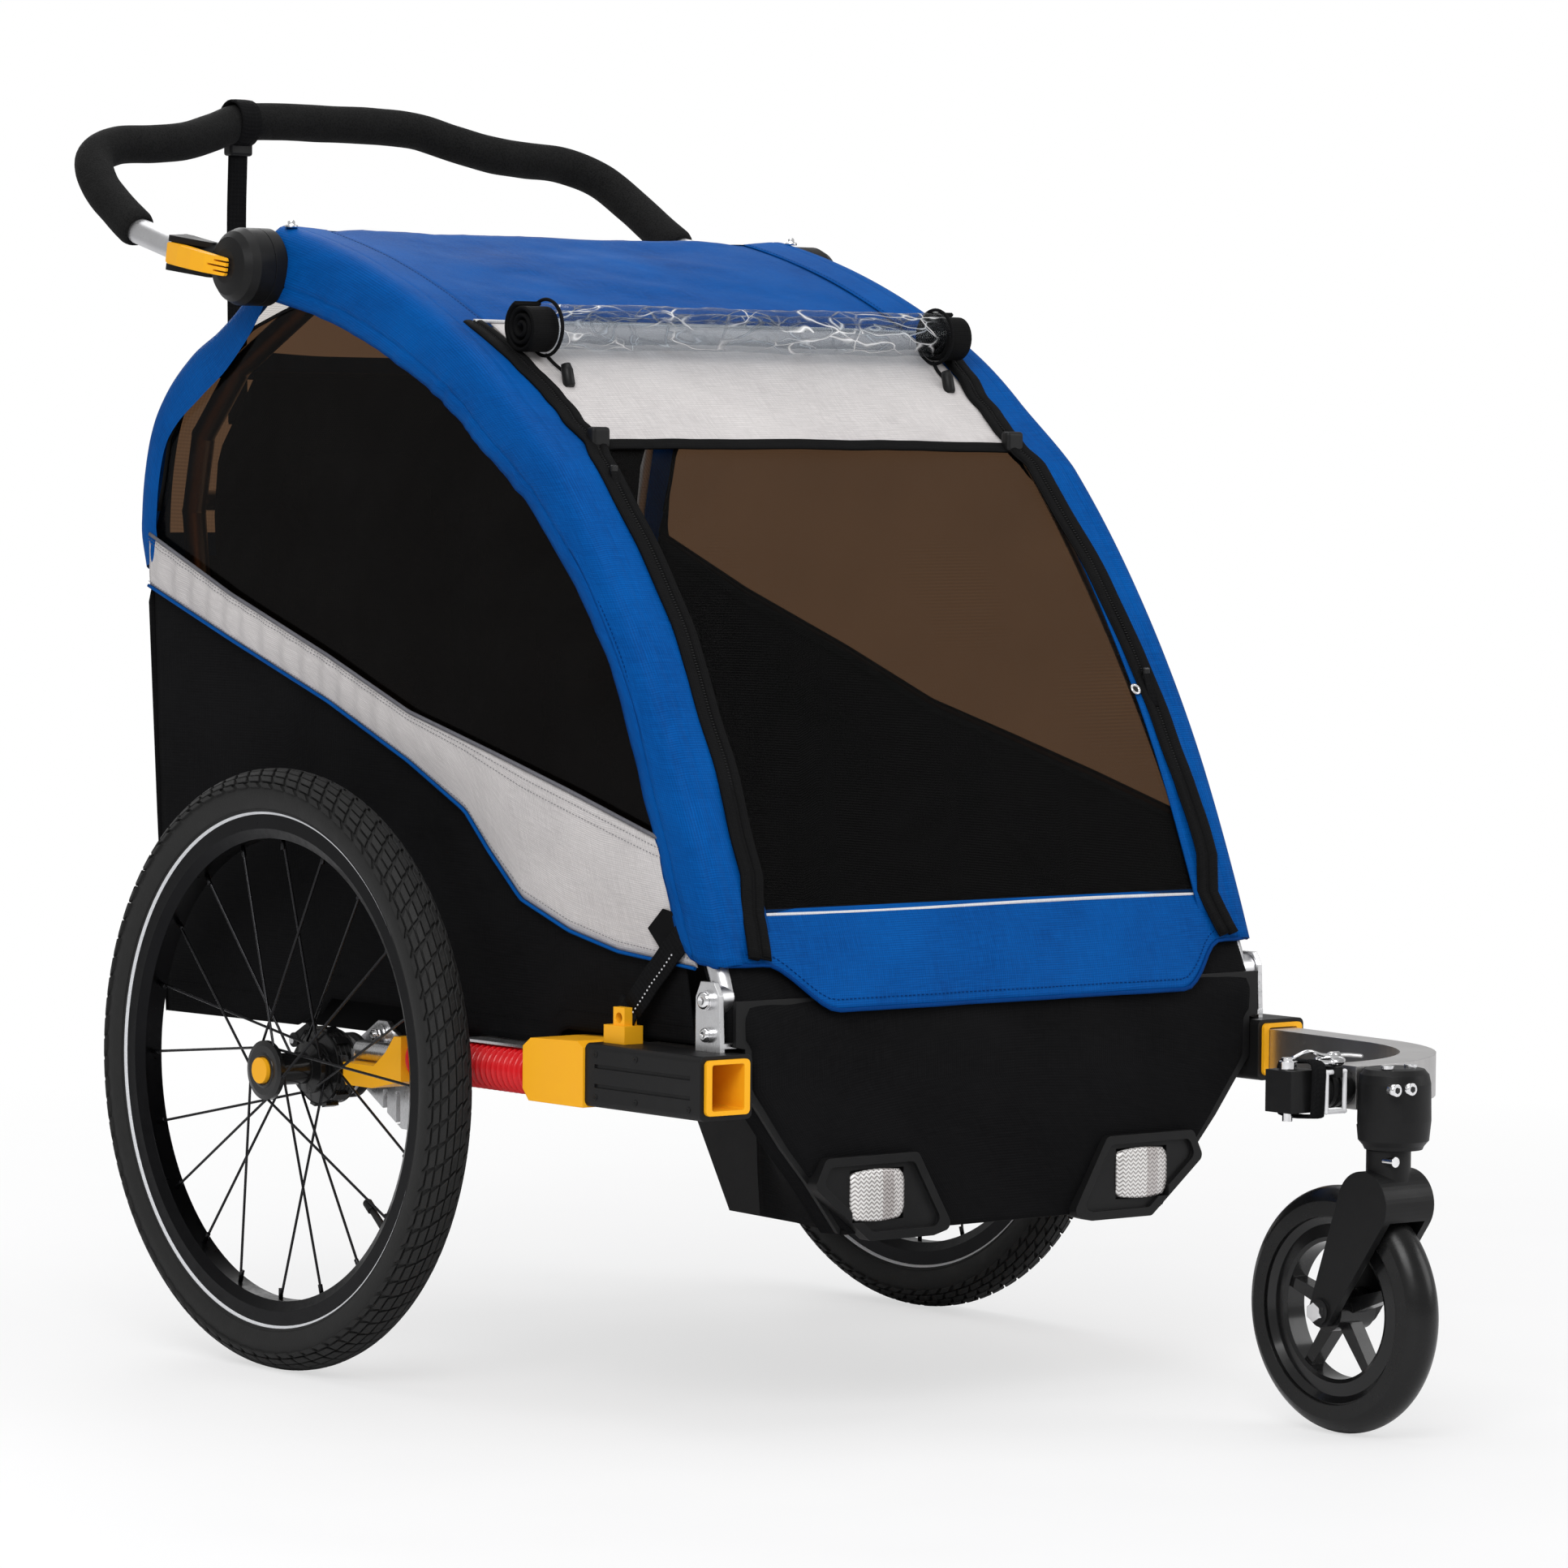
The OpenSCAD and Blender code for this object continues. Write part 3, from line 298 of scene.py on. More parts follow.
def weave(tree, where, pitch, own_map):
    """Height of crossing threads, 0 in the gaps and 1 on the crowns."""
    k = 1.0 / (pitch * 0.001)
    waves = []
    for axis in ("X", "Y") if own_map else ("X", "Y", "Z"):
        w = add(tree, "ShaderNodeTexWave", {"wave_type": "BANDS", "bands_direction": axis},
                Vector=where, Scale=k / 6.2832, Distortion=0.4, Detail=1.0).outputs["Fac"]
        waves.append(w)
    if own_map:
        check = add(tree, "ShaderNodeTexChecker", None, Vector=where, Scale=k).outputs["Fac"]
        return add(tree, "ShaderNodeMix", {"data_type": "FLOAT"}, i0=check, i2=waves[0],
                   i3=waves[1]).outputs[0]
    return maths(tree, "MULTIPLY", maths(tree, "MAXIMUM", waves[0], waves[1]),
                 maths(tree, "MAXIMUM", waves[1], waves[2]))


def cloth(name, colour, shade, pitch=1.1, own_map=True, rough=0.72, crease=1.2,
          crease_size=22.0, thread=0.14):
    """Woven cloth: threads, uneven dye, painted shade in the gaps between threads and soft creases."""
    m, t, s = new_finish(name)
    where = place_on(t, own_map)
    threads = weave(t, where, pitch, own_map)
    dye = cloud(t, where, 9.0, 3.0)
    fine = cloud(t, where, 420.0, 2.0)
    warp = cloud(t, stretched(t, where, (1.0, 16.0, 16.0)), 45.0, 3.0, 0.6)
    weft = cloud(t, stretched(t, where, (16.0, 1.0, 1.0)), 45.0, 3.0, 0.6)
    slub = maths(t, "MULTIPLY", warp, weft)
    tone = blend_colours(t, span(t, dye, 0.3, 0.7, 0.0, 1.0), shade, colour)
    tone = blend_colours(t, span(t, slub, 0.16, 0.36, 0.0, 0.5), tone,
                         tuple(min(c * 1.25 + 0.001, 1.0) for c in colour))
    # painted shade: the colour is darker in the gaps between the threads
    tone = blend_colours(t, span(t, threads, 0.1, 0.8, 0.35, 0.0), tone,
                         tuple(c * 0.45 for c in shade))
    tone = blend_colours(t, span(t, fine, 0.35, 0.7, 0.12, 0.0), tone,
                         tuple(c * 0.6 for c in shade))
    folds = bumps(t, cloud(t, where, crease_size, 2.0, 0.55), crease * 0.001, 1.0)
    feed(t, s, Base_Color=tone, Roughness=span(t, fine, 0.3, 0.7, rough - 0.06, rough + 0.06),
         Specular_IOR_Level=0.04, Normal=bumps(t, threads, thread * 0.001, 0.8, folds))
    return m


def rounded(tree, radius):
    """A shading normal that rounds sharp edges by that radius in millimetres."""
    return add(tree, "ShaderNodeBevel", {"samples": 4}, Radius=radius * 0.001).outputs["Normal"]


def plastic(name, colour, rough=0.42, grain=900.0, depth=0.05, coat=0.0, edge=0.8, worn=0.08,
            level=0.2):
    """Moulded plastic: fine grain, rounded edges and faint scuffs."""
    m, t, s = new_finish(name)
    where = place_on(t, False)
    grains = cloud(t, where, grain, 2.0)
    scuff = cloud(t, where, 38.0, 4.0, 0.65)
    pale = tuple(min(c * 1.5 + 0.006, 1.0) for c in colour)
    tone = blend_colours(t, span(t, scuff, 0.52, 0.75, 0.0, worn * 3), colour, pale)
    feed(t, s, Base_Color=tone, Roughness=span(t, scuff, 0.3, 0.75, rough - 0.05, rough + 0.1),
         Coat_Weight=coat, Coat_Roughness=0.12, Specular_IOR_Level=level,
         Normal=bumps(t, grains, depth * 0.001, 1.0, rounded(t, edge)))
    return m


def metal(name, colour, rough=0.32, grain=160.0, stretch=(1, 1, 12), depth=0.02):
    """Metal with a drawn grain along one axis and faint handling marks."""
    m, t, s = new_finish(name)
    where = place_on(t, False)
    lines = cloud(t, stretched(t, where, stretch), grain, 3.0, 0.6)
    marks = cloud(t, where, 30.0, 4.0, 0.6)
    dark = tuple(c * 0.72 for c in colour)
    feed(t, s, Base_Color=blend_colours(t, span(t, marks, 0.35, 0.75, 0.0, 0.5), colour, dark),
         Roughness=span(t, lines, 0.3, 0.7, rough - 0.07, rough + 0.09), Metallic=1.0,
         Normal=bumps(t, lines, depth * 0.001, 1.0, rounded(t, 0.7)))
    return m


def film(name, tint, clear, rough=0.12, depth=0.6, mesh=0.0, shade=(0.01, 0.01, 0.01), level=0.2):
    """See-through window film or netting: clear is the share of light let straight through."""
    m, t, s = new_finish(name)
    where = place_on(t, True)
    slack = bumps(t, cloud(t, where, 14.0, 2.0), depth * 0.001, 1.0)
    through = add(t, "ShaderNodeBsdfTransparent", None, Color=(*tint, 1)).outputs[0]
    if mesh:
        share = span(t, weave(t, where, mesh, True), 0.15, 0.75, clear + 0.07, clear - 0.07)
        blotch, pale = 60.0, tuple(c * 1.6 + 0.002 for c in shade)
    else:
        share = span(t, cloud(t, where, 8.0), 0.3, 0.7, clear - 0.03, clear + 0.03)
        blotch, pale = 25.0, tuple(c * 1.4 for c in shade)
    feed(t, s, Base_Color=blend_colours(t, cloud(t, where, blotch), shade, pale), Roughness=rough,
         Specular_IOR_Level=level, Normal=slack)
    set_beside(t, s.outputs[0], through, share)
    return m


# ---------- finishes ----------

BLUE = linear(2, 86, 164)
BLUE_DEEP = linear(2, 64, 132)
PALE = linear(212, 208, 207)
YELLOW = linear(250, 178, 30)

blue_nylon = cloth("blue_nylon", BLUE, BLUE_DEEP, 1.0, rough=0.56, crease=1.1, crease_size=20.0)
blue_binding = cloth("blue_binding", BLUE_DEEP, linear(2, 48, 108), 0.8, rough=0.6)
black_canvas = cloth("black_canvas", (0.0080, 0.0080, 0.0086), (0.0048, 0.0048, 0.0052), 1.1,
                     rough=0.82, crease=1.6, crease_size=10.0)
black_pad = cloth("black_pad", (0.0080, 0.0080, 0.0086), (0.0050, 0.0050, 0.0054), 0.9, own_map=False,
                  rough=0.88, crease=1.4, crease_size=24.0)
black_webbing = cloth("black_webbing", (0.0085, 0.0085, 0.0090), (0.0055, 0.0055, 0.006), 1.8,
                      rough=0.7, crease=0.3, thread=0.3)
black_edging = cloth("black_edging", (0.0080, 0.0080, 0.0085), (0.0055, 0.0055, 0.0055), 0.9, rough=0.65,
                     crease=0.3, thread=0.2)
pale_nylon = cloth("pale_nylon", PALE, linear(192, 188, 188), 0.9, rough=0.62,
                   crease=0.9, crease_size=26.0, thread=0.1)
white_thread = cloth("white_thread", linear(238, 238, 240), linear(206, 206, 210), 0.6, rough=0.6,
                     crease=0.2)
grey_thread = cloth("grey_thread", linear(120, 120, 126), linear(96, 96, 102), 0.6, rough=0.7,
                    crease=0.0)
blue_thread = cloth("blue_thread", linear(2, 56, 124), linear(2, 42, 96), 0.6, rough=0.6,
                    crease=0.0)
coated_wire = plastic("coated_wire", linear(226, 226, 228), rough=0.3, depth=0.01, coat=0.4)
white_piping = cloth("white_piping", linear(232, 232, 234), linear(206, 206, 210), 0.7,
                     rough=0.5, crease=0.1)
moulded_black = plastic("moulded_black", (0.0075, 0.0075, 0.0078), rough=0.44, depth=0.07)
glossy_black = plastic("glossy_black", (0.006, 0.006, 0.0062), rough=0.22, depth=0.015, coat=0.35)
nylon_yellow = plastic("nylon_yellow", YELLOW, rough=0.36, depth=0.03, worn=0.03)
pedal_red = plastic("pedal_red", linear(196, 30, 28), rough=0.38, depth=0.03, worn=0.04)
tyre_rubber = plastic("tyre_rubber", (0.013, 0.013, 0.0128), rough=0.66, grain=420.0, depth=0.18,
                      worn=0.16, edge=0.5, level=0.3)
caster_rubber = plastic("caster_rubber", (0.0055, 0.0055, 0.0056), rough=0.27, grain=500.0, depth=0.03,
                        worn=0.05, edge=1.2, level=0.3)
spring_red = plastic("spring_red", linear(214, 22, 30), rough=0.26, grain=200.0, depth=0.06,
                     coat=0.3, worn=0.03, edge=0.5)
rim_black = metal("rim_black", (0.014, 0.014, 0.015), rough=0.34, stretch=(1, 1, 1))
frame_silver = metal("frame_silver", (0.70, 0.70, 0.715), rough=0.34)
plate_silver = metal("plate_silver", (0.74, 0.74, 0.75), rough=0.30, stretch=(1, 9, 1))
arm_grey = metal("arm_grey", (0.60, 0.59, 0.585), rough=0.42, stretch=(1, 1, 1), grain=900.0)
chrome = metal("chrome", (0.86, 0.86, 0.87), rough=0.14, stretch=(1, 1, 1), depth=0.006)
spoke_black = metal("spoke_black", (0.03, 0.03, 0.032), rough=0.28, stretch=(1, 1, 1))
window_film = film("window_film", linear(128, 97, 72), 0.62, rough=0.16, depth=1.2,
                   shade=(0.003, 0.0022, 0.0018), level=0.16)
front_net = film("front_net", (0.86, 0.84, 0.82), 0.60, rough=0.7, depth=0.4, mesh=1.6,
                 shade=(0.003, 0.003, 0.003), level=0.08)
rear_net = film("rear_net", (0.94, 0.90, 0.86), 0.62, rough=0.6, depth=0.4, mesh=1.6,
                shade=(0.006, 0.0052, 0.0045), level=0.08)


def make_foam():
    """Soft closed-cell foam with open pores, painted darker as shade in them, and faint pressure marks."""
    m, t, s = new_finish("grip_foam")
    where = place_on(t, False)
    pores = add(t, "ShaderNodeTexVoronoi", None, Vector=where, Scale=620.0).outputs["Distance"]
    dents = cloud(t, where, 45.0, 3.0)
    # painted shade: the pores are darker than the foam around them
    tone = blend_colours(t, span(t, pores, 0.1, 0.6, 0.0, 1.0), (0.0025, 0.0025, 0.0025),
                         (0.0095, 0.0095, 0.0095))
    low = bumps(t, dents, 0.0006, 1.0)
    feed(t, s, Base_Color=tone, Roughness=span(t, dents, 0.3, 0.7, 0.82, 0.95),
         Specular_IOR_Level=0.14, Normal=bumps(t, pores, 0.00035, 0.8, low))
    return m


def make_reflective(name):
    """Bright retro-reflective strip full of fine beads."""
    m, t, s = new_finish(name)
    where = place_on(t, False)
    beads = cloud(t, where, 2200.0, 1.0)
    tone = blend_colours(t, span(t, beads, 0.3, 0.7, 0.0, 1.0), linear(196, 198, 202),
                         linear(236, 237, 240))
    feed(t, s, Base_Color=tone, Roughness=span(t, beads, 0.3, 0.7, 0.34, 0.5),
         Normal=bumps(t, beads, 0.00005, 0.6))
    return m


def make_prism():
    """Clear reflector over a silvered back: fine zigzag prisms in upright panels, with painted reflection on
    the panels and painted shade along the prisms.
    """
    m, t, s = new_finish("prism_silver")
    where = place_on(t, False)
    parts = add(t, "ShaderNodeSeparateXYZ", None, Vector=where).outputs
    zigzag = maths(t, "PINGPONG", parts[0], 0.0026)
    rise = maths(t, "MULTIPLY", maths(t, "ADD", parts[2], maths(t, "MULTIPLY", zigzag, 0.9)), 1900.0)
    prisms = span(t, maths(t, "SINE", rise), -1.0, 1.0, 0.0, 1.0)
    # both lenses change panel at the same place across their width
    lens_x = LENS_X * 0.001
    across = maths(t, "FLOORED_MODULO", maths(t, "ADD", parts[0], lens_x + 0.06), 2 * lens_x)
    # painted reflection: one panel is bright and the next darker, then lighter again towards its outer part,
    # as the panels catch the light
    tone = blend_colours(t, span(t, across, 0.0624, 0.0632, 0.0, 1.0), linear(240, 238, 236),
                         linear(196, 190, 188))
    tone = blend_colours(t, span(t, across, 0.0745, 0.0755, 0.0, 0.7), tone, linear(236, 233, 231))
    # painted shade: dark lines along the zigzag prisms
    tone = blend_colours(t, span(t, prisms, 0.1, 0.6, 0.8, 0.0), tone, linear(104, 96, 94))
    feed(t, s, Base_Color=tone, Metallic=0.25, Coat_Weight=1.0, Coat_Roughness=0.05,
         Roughness=span(t, prisms, 0.0, 1.0, 0.2, 0.4), Normal=bumps(t, prisms, 0.0003, 0.7))
    return m


def make_vinyl():
    """Clear rain vinyl, crumpled from being rolled: clear faces, painted highlights along broken creases and
    a dark painted reflection elsewhere.
    """
    m, t, s = new_finish("clear_vinyl")
    where = place_on(t, False)
    drawn = stretched(t, where, (0.45, 1.6, 1.6))
    crumple = cloud(t, drawn, 30.0, 3.0, 0.55)
    bent = add(t, "ShaderNodeMix", {"data_type": "VECTOR"}, i0=0.06, i4=drawn,
               i5=add(t, "ShaderNodeTexNoise", None, Vector=where, Scale=14.0).outputs["Color"])
    facet = add(t, "ShaderNodeTexVoronoi", {"feature": "DISTANCE_TO_EDGE"},
                Vector=bent.outputs[1], Scale=34.0).outputs["Distance"]
    crease = span(t, facet, 0.0, 0.045, 1.0, 0.0)
    sharp = bumps(t, crumple, 0.016, 1.0)
    through = add(t, "ShaderNodeBsdfTransparent", None, Color=(0.88, 0.90, 0.92, 1)).outputs[0]
    dark = add(t, "ShaderNodeLayerWeight", None, Blend=0.28).outputs["Facing"]
    # painted highlight: the creases are painted white, and the rest of the surface is painted dark as a
    # reflection
    lit = maths(t, "MULTIPLY", crease, span(t, cloud(t, where, 18.0), 0.38, 0.5, 0.0, 1.0))
    feed(t, s, Base_Color=blend_colours(t, lit, (0.05, 0.055, 0.06), (0.95, 0.95, 0.96)),
         Roughness=0.04, Coat_Weight=1.0,
         Normal=bumps(t, span(t, facet, 0.0, 0.2, 0.0, 1.0), 0.003, 1.0, sharp))
    # the painted highlights and the edge-on faces let less light through, so their painted colour shows
    share = span(t, maths(t, "ADD", span(t, dark, 0.25, 1.0, 0.0, 0.4), lit), 0.0, 1.0, 0.93, 0.15)
    set_beside(t, s.outputs[0], through, share)
    return m


grip_foam = make_foam()
sidewall_stripe = make_reflective("sidewall_stripe")
prism_silver = make_prism()
clear_vinyl = make_vinyl()


# ---------- mesh helpers ----------

def place(name, data, body=None):
    """A new object in the scene, on a body if one is named."""
    o = bpy.data.objects.new(name, data)
    scene.collection.objects.link(o)
    if body:
        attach(o, body)
    return o


def make_piece(name, points, faces, finish, body=None, maps=None, soft=True, slots=()):
    """A mesh piece from points in millimetres; faces point outwards."""
    mesh = bpy.data.meshes.new(name)
    mesh.from_pydata([at(*p) for p in points], [], faces)
    if maps:
        layer = mesh.uv_layers.new(name="cut")
        flat = [c for f in faces for v in f for c in maps[v]]
        layer.data.foreach_set("uv", flat)
    mesh.materials.append(finish)
    for other in slots:
        mesh.materials.append(other)
    mesh.polygons.foreach_set("use_smooth", [soft] * len(mesh.polygons))
    return place(name, mesh, body)


def outward(o, merge=0.0):
    """Merges doubles and points all faces outwards."""
    b = bmesh.new()
    b.from_mesh(o.data)
    if merge:
        bmesh.ops.remove_doubles(b, verts=b.verts, dist=merge * 0.001)
    bmesh.ops.recalc_face_normals(b, faces=b.faces)
    b.to_mesh(o.data)
    b.free()
    return o


CUTS = {}          # width and area of each sheet of cloth as it was cut


def hang(o):
    """Returns the cloth piece as it is."""
    return o


def cap_ends(o, loops):
    """Closes a tube with a flat face over each end loop."""
    b = bmesh.new()
    b.from_mesh(o.data)
    b.verts.ensure_lookup_table()
    for loop in loops:
        b.faces.new([b.verts[k] for k in loop])
    bmesh.ops.recalc_face_normals(b, faces=b.faces)
    b.to_mesh(o.data)
    b.free()


def sheet_of(name, rows, finish, body=None, ring=False, flip=False, pick=None, slots=()):
    """A sheet through rows of points, with a cloth map measured in metres along it."""
    count = len(rows[0])
    maps, down = [], [0.0] * count
    for j, row in enumerate(rows):
        across = 0.0
        for i, p in enumerate(row):
            if i:
                across += math.dist(row[i - 1], p)
            if j:
                down[i] += math.dist(rows[j - 1][i], p)
            maps.append((across * 0.001, down[i] * 0.001))
    faces = []
    for j in range(len(rows) - 1):
        for i in range(count if ring else count - 1):
            k = (i + 1) % count
            f = (j * count + i, j * count + k, (j + 1) * count + k, (j + 1) * count + i)
            faces.append(f[::-1] if flip else f)
    o = make_piece(name, [p for row in rows for p in row], faces, finish, body, maps, slots=slots)
    CUTS.setdefault(name, []).append((max(u for u, _ in maps), sum(f.area for f in o.data.polygons)))
    if pick:
        width = count if ring else count - 1
        for n, polygon in enumerate(o.data.polygons):
            polygon.material_index = pick(n % width, n // width)
    return o


def thicken(o, wall, offset=-1.0, even=True):
    m = o.modifiers.new("wall", "SOLIDIFY")
    m.thickness = wall * 0.001
    m.offset = offset
    m.use_even_offset = even
    return o


def subdivide(o, levels=1):
    m = o.modifiers.new("smooth", "SUBSURF")
    m.levels = m.render_levels = levels
    return o


def ease_edges(o, width, steps=2):
    m = o.modifiers.new("edges", "BEVEL")
    m.width = width * 0.001
    m.segments = steps
    m.limit_method = "ANGLE"
    m.angle_limit = math.radians(35)
    return o


def settle(o):
    """Turns an object and its modifiers into one plain mesh at the origin."""
    bpy.context.view_layer.update()
    ready = o.evaluated_get(bpy.context.evaluated_depsgraph_get())
    mesh = bpy.data.meshes.new_from_object(ready)
    mesh.transform(o.matrix_world)
    name, old, facts = o.name, o.data, o.get("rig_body")
    bpy.data.objects.remove(o)
    if old.users == 0:
        (bpy.data.meshes if isinstance(old, bpy.types.Mesh) else bpy.data.curves).remove(old)
    mesh.name = name
    return place(name, mesh, facts)


def join(name, parts, body=None):
    """Several pieces made one mesh; each keeps its finishes."""
    finishes, points, faces, marks, maps, softs = [], [], [], [], [], []
    for o in [settle(p) for p in parts]:
        base = len(points)
        points += [v.co.copy() for v in o.data.vertices]
        own = [m for m in o.data.materials]
        for m in own:
            if m not in finishes:
                finishes.append(m)
        layer = o.data.uv_layers.active
        for f in o.data.polygons:
            faces.append([base + v for v in f.vertices])
            marks.append(finishes.index(own[min(f.material_index, len(own) - 1)]))
            softs.append(f.use_smooth)
            maps += [tuple(layer.data[k].uv) if layer else (0.0, 0.0) for k in f.loop_indices]
        bpy.data.objects.remove(o)
    mesh = bpy.data.meshes.new(name)
    mesh.from_pydata(points, [], faces)
    for m in finishes:
        mesh.materials.append(m)
    mesh.uv_layers.new(name="cut").data.foreach_set("uv", [c for uv in maps for c in uv])
    mesh.polygons.foreach_set("material_index", marks)
    mesh.polygons.foreach_set("use_smooth", softs)
    return place(name, mesh, body)


def tube_of(name, path, size, finish, body=None, sides=16, flat=1.0, tilt=None, closed=False):
    """A round or flattened tube along a path; size is a radius or a rule of the share run."""
    pts = [Vector(p) for p in path]
    last = len(pts) - 1
    rows, side = [], None
    for i, p in enumerate(pts):
        if closed:
            way = (pts[(i + 1) % len(pts)] - pts[i - 1]).normalized()
        else:
            way = (pts[min(i + 1, last)] - pts[max(i - 1, 0)]).normalized()
        if side is None:
            first = Vector(tilt) if tilt else Vector((0, 0, 1) if abs(way.z) < 0.9 else (1, 0, 0))
            side = first - way * first.dot(way)
        else:
            side = side - way * side.dot(way)
        side.normalize()
        up = way.cross(side)
        r = size(i / last) if callable(size) else size
        rows.append([p + side * (r * math.cos(a)) + up * (r * flat * math.sin(a))
                     for a in around(sides)])
    if closed:
        rows.append(rows[0])
    o = sheet_of(name, rows, finish, None, ring=True)
    if closed:
        outward(o, 0.01)
    else:
        cap_ends(o, (range(sides), range(last * sides, (last + 1) * sides)))
    if body:
        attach(o, body)
    return o


def ribbon_of(name, path, out, width, wall, finish, body=None, bow=0.0):
    """A flat strap along a path; out(i) is the way its face looks, as a vector."""
    pts = [Vector(p) for p in path]
    last = len(pts) - 1
    rows = []
    for i, p in enumerate(pts):
        way = (pts[min(i + 1, last)] - pts[max(i - 1, 0)]).normalized()
        face = Vector(out(i)) if callable(out) else Vector(out)
        across = way.cross(face).normalized()
        face = across.cross(way)
        w, h = width / 2, wall / 2
        section = [(-w, -h), (w, -h), (w + h * 0.6, 0), (w, h), (w / 2, h + bow), (-w / 2, h + bow),
                   (-w, h), (-w - h * 0.6, 0)]
        rows.append([p + across * a + face * b for a, b in section])
    o = sheet_of(name, rows, finish, None, ring=True)
    cap_ends(o, (range(8), range(last * 8, last * 8 + 8)))
    if body:
        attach(o, body)
    return o


def turned(name, profile, centre, finish, steps=96):
    """A body turned about an axle along X; the closed profile is (x, radius)."""
    rows = []
    for x, r in profile:
        rows.append([(x, centre[0] + r * math.cos(a), centre[1] + r * math.sin(a))
                     for a in around(steps)])
    rows.append(rows[0])
    return outward(sheet_of(name, rows, finish, None, ring=True), 0.001)


def turned_up(name, profile, centre, finish):
    """A body turned about an upright axis; the profile is (radius, z)."""
    rows = [[(centre[0] + r * math.cos(a), centre[1] + r * math.sin(a), z)
             for a in around(28)] for r, z in profile]
    return outward(sheet_of(name, rows, finish, None, ring=True), 0.02)


def slab(name, outline, lift, finish, body=None, edge=0.8, steps=2):
    """A plate from an outline of points, made thick by the vector lift, with eased edges."""
    n = len(outline)
    points = [tuple(p) for p in outline] + [tuple(Vector(p) + Vector(lift)) for p in outline]
    faces = [tuple(range(n)), tuple(range(2 * n - 1, n - 1, -1))]
    faces += [(i, (i + 1) % n, n + (i + 1) % n, n + i) for i in range(n)]
    o = outward(make_piece(name, points, faces, finish, soft=False))
    ease_edges(o, edge, steps)
    if body:
        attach(o, body)
    return o


def box_of(name, low, high, finish, body=None, edge=1.0, steps=2):
    (x0, y0, z0), (x1, y1, z1) = low, high
    return slab(name, [(x0, y0, z0), (x1, y0, z0), (x1, y1, z0), (x0, y1, z0)], (0, 0, z1 - z0),
                finish, body, edge, steps)


# ---------- repeats made with Geometry Nodes ----------

def tree_named(name, inputs):
    tree = bpy.data.node_groups.new(name, "GeometryNodeTree")
    tree.interface.new_socket("Geometry", in_out="INPUT", socket_type="NodeSocketGeometry")
    tree.interface.new_socket("Geometry", in_out="OUTPUT", socket_type="NodeSocketGeometry")
    for label, kind in inputs:
        tree.interface.new_socket(label, in_out="INPUT", socket_type="NodeSocket" + kind)
    return tree, tree.nodes.new("NodeGroupInput"), tree.nodes.new("NodeGroupOutput")


def run_tree(o, tree, **values):
    """Runs a tree on a piece and leaves a plain mesh."""
    m = o.modifiers.new("repeat", "NODES")
    m.node_group = tree
    for item in tree.interface.items_tree:
        if item.in_out == "INPUT" and item.name in values:
            m[item.identifier] = values[item.name]
    return settle(o)


def make_wheel_repeat():
    """Repeats a piece round an axle along X."""
    tree, start, end = tree_named("repeat round the axle", (
        ("Count", "Int"), ("Axle", "Vector"), ("Finish", "Material")))
    line = add(tree, "GeometryNodeMeshLine", {"mode": "OFFSET"}, Count=start.outputs["Count"],
               Offset=(0, 0, 0), Start_Location=start.outputs["Axle"])
    index = add(tree, "GeometryNodeInputIndex").outputs[0]
    share = maths(tree, "DIVIDE", index, start.outputs["Count"])
    angle = maths(tree, "MULTIPLY", share, 2 * math.pi)
    turn = add(tree, "ShaderNodeCombineXYZ", None, X=angle).outputs[0]
    back = add(tree, "ShaderNodeVectorMath", {"operation": "SCALE"}, i0=start.outputs["Axle"],
               Scale=-1.0).outputs[0]
    centred = add(tree, "GeometryNodeTransform", None, Geometry=start.outputs["Geometry"],
                  Translation=back).outputs[0]
    copies = add(tree, "GeometryNodeInstanceOnPoints", None, Points=line.outputs[0],
                 Instance=centred, Rotation=turn).outputs[0]
    solid = add(tree, "GeometryNodeRealizeInstances", None, Geometry=copies).outputs[0]
    done = add(tree, "GeometryNodeSetMaterial", None, Geometry=solid,
               Material=start.outputs["Finish"]).outputs[0]
    tree.links.new(done, end.inputs[0])
    return tree


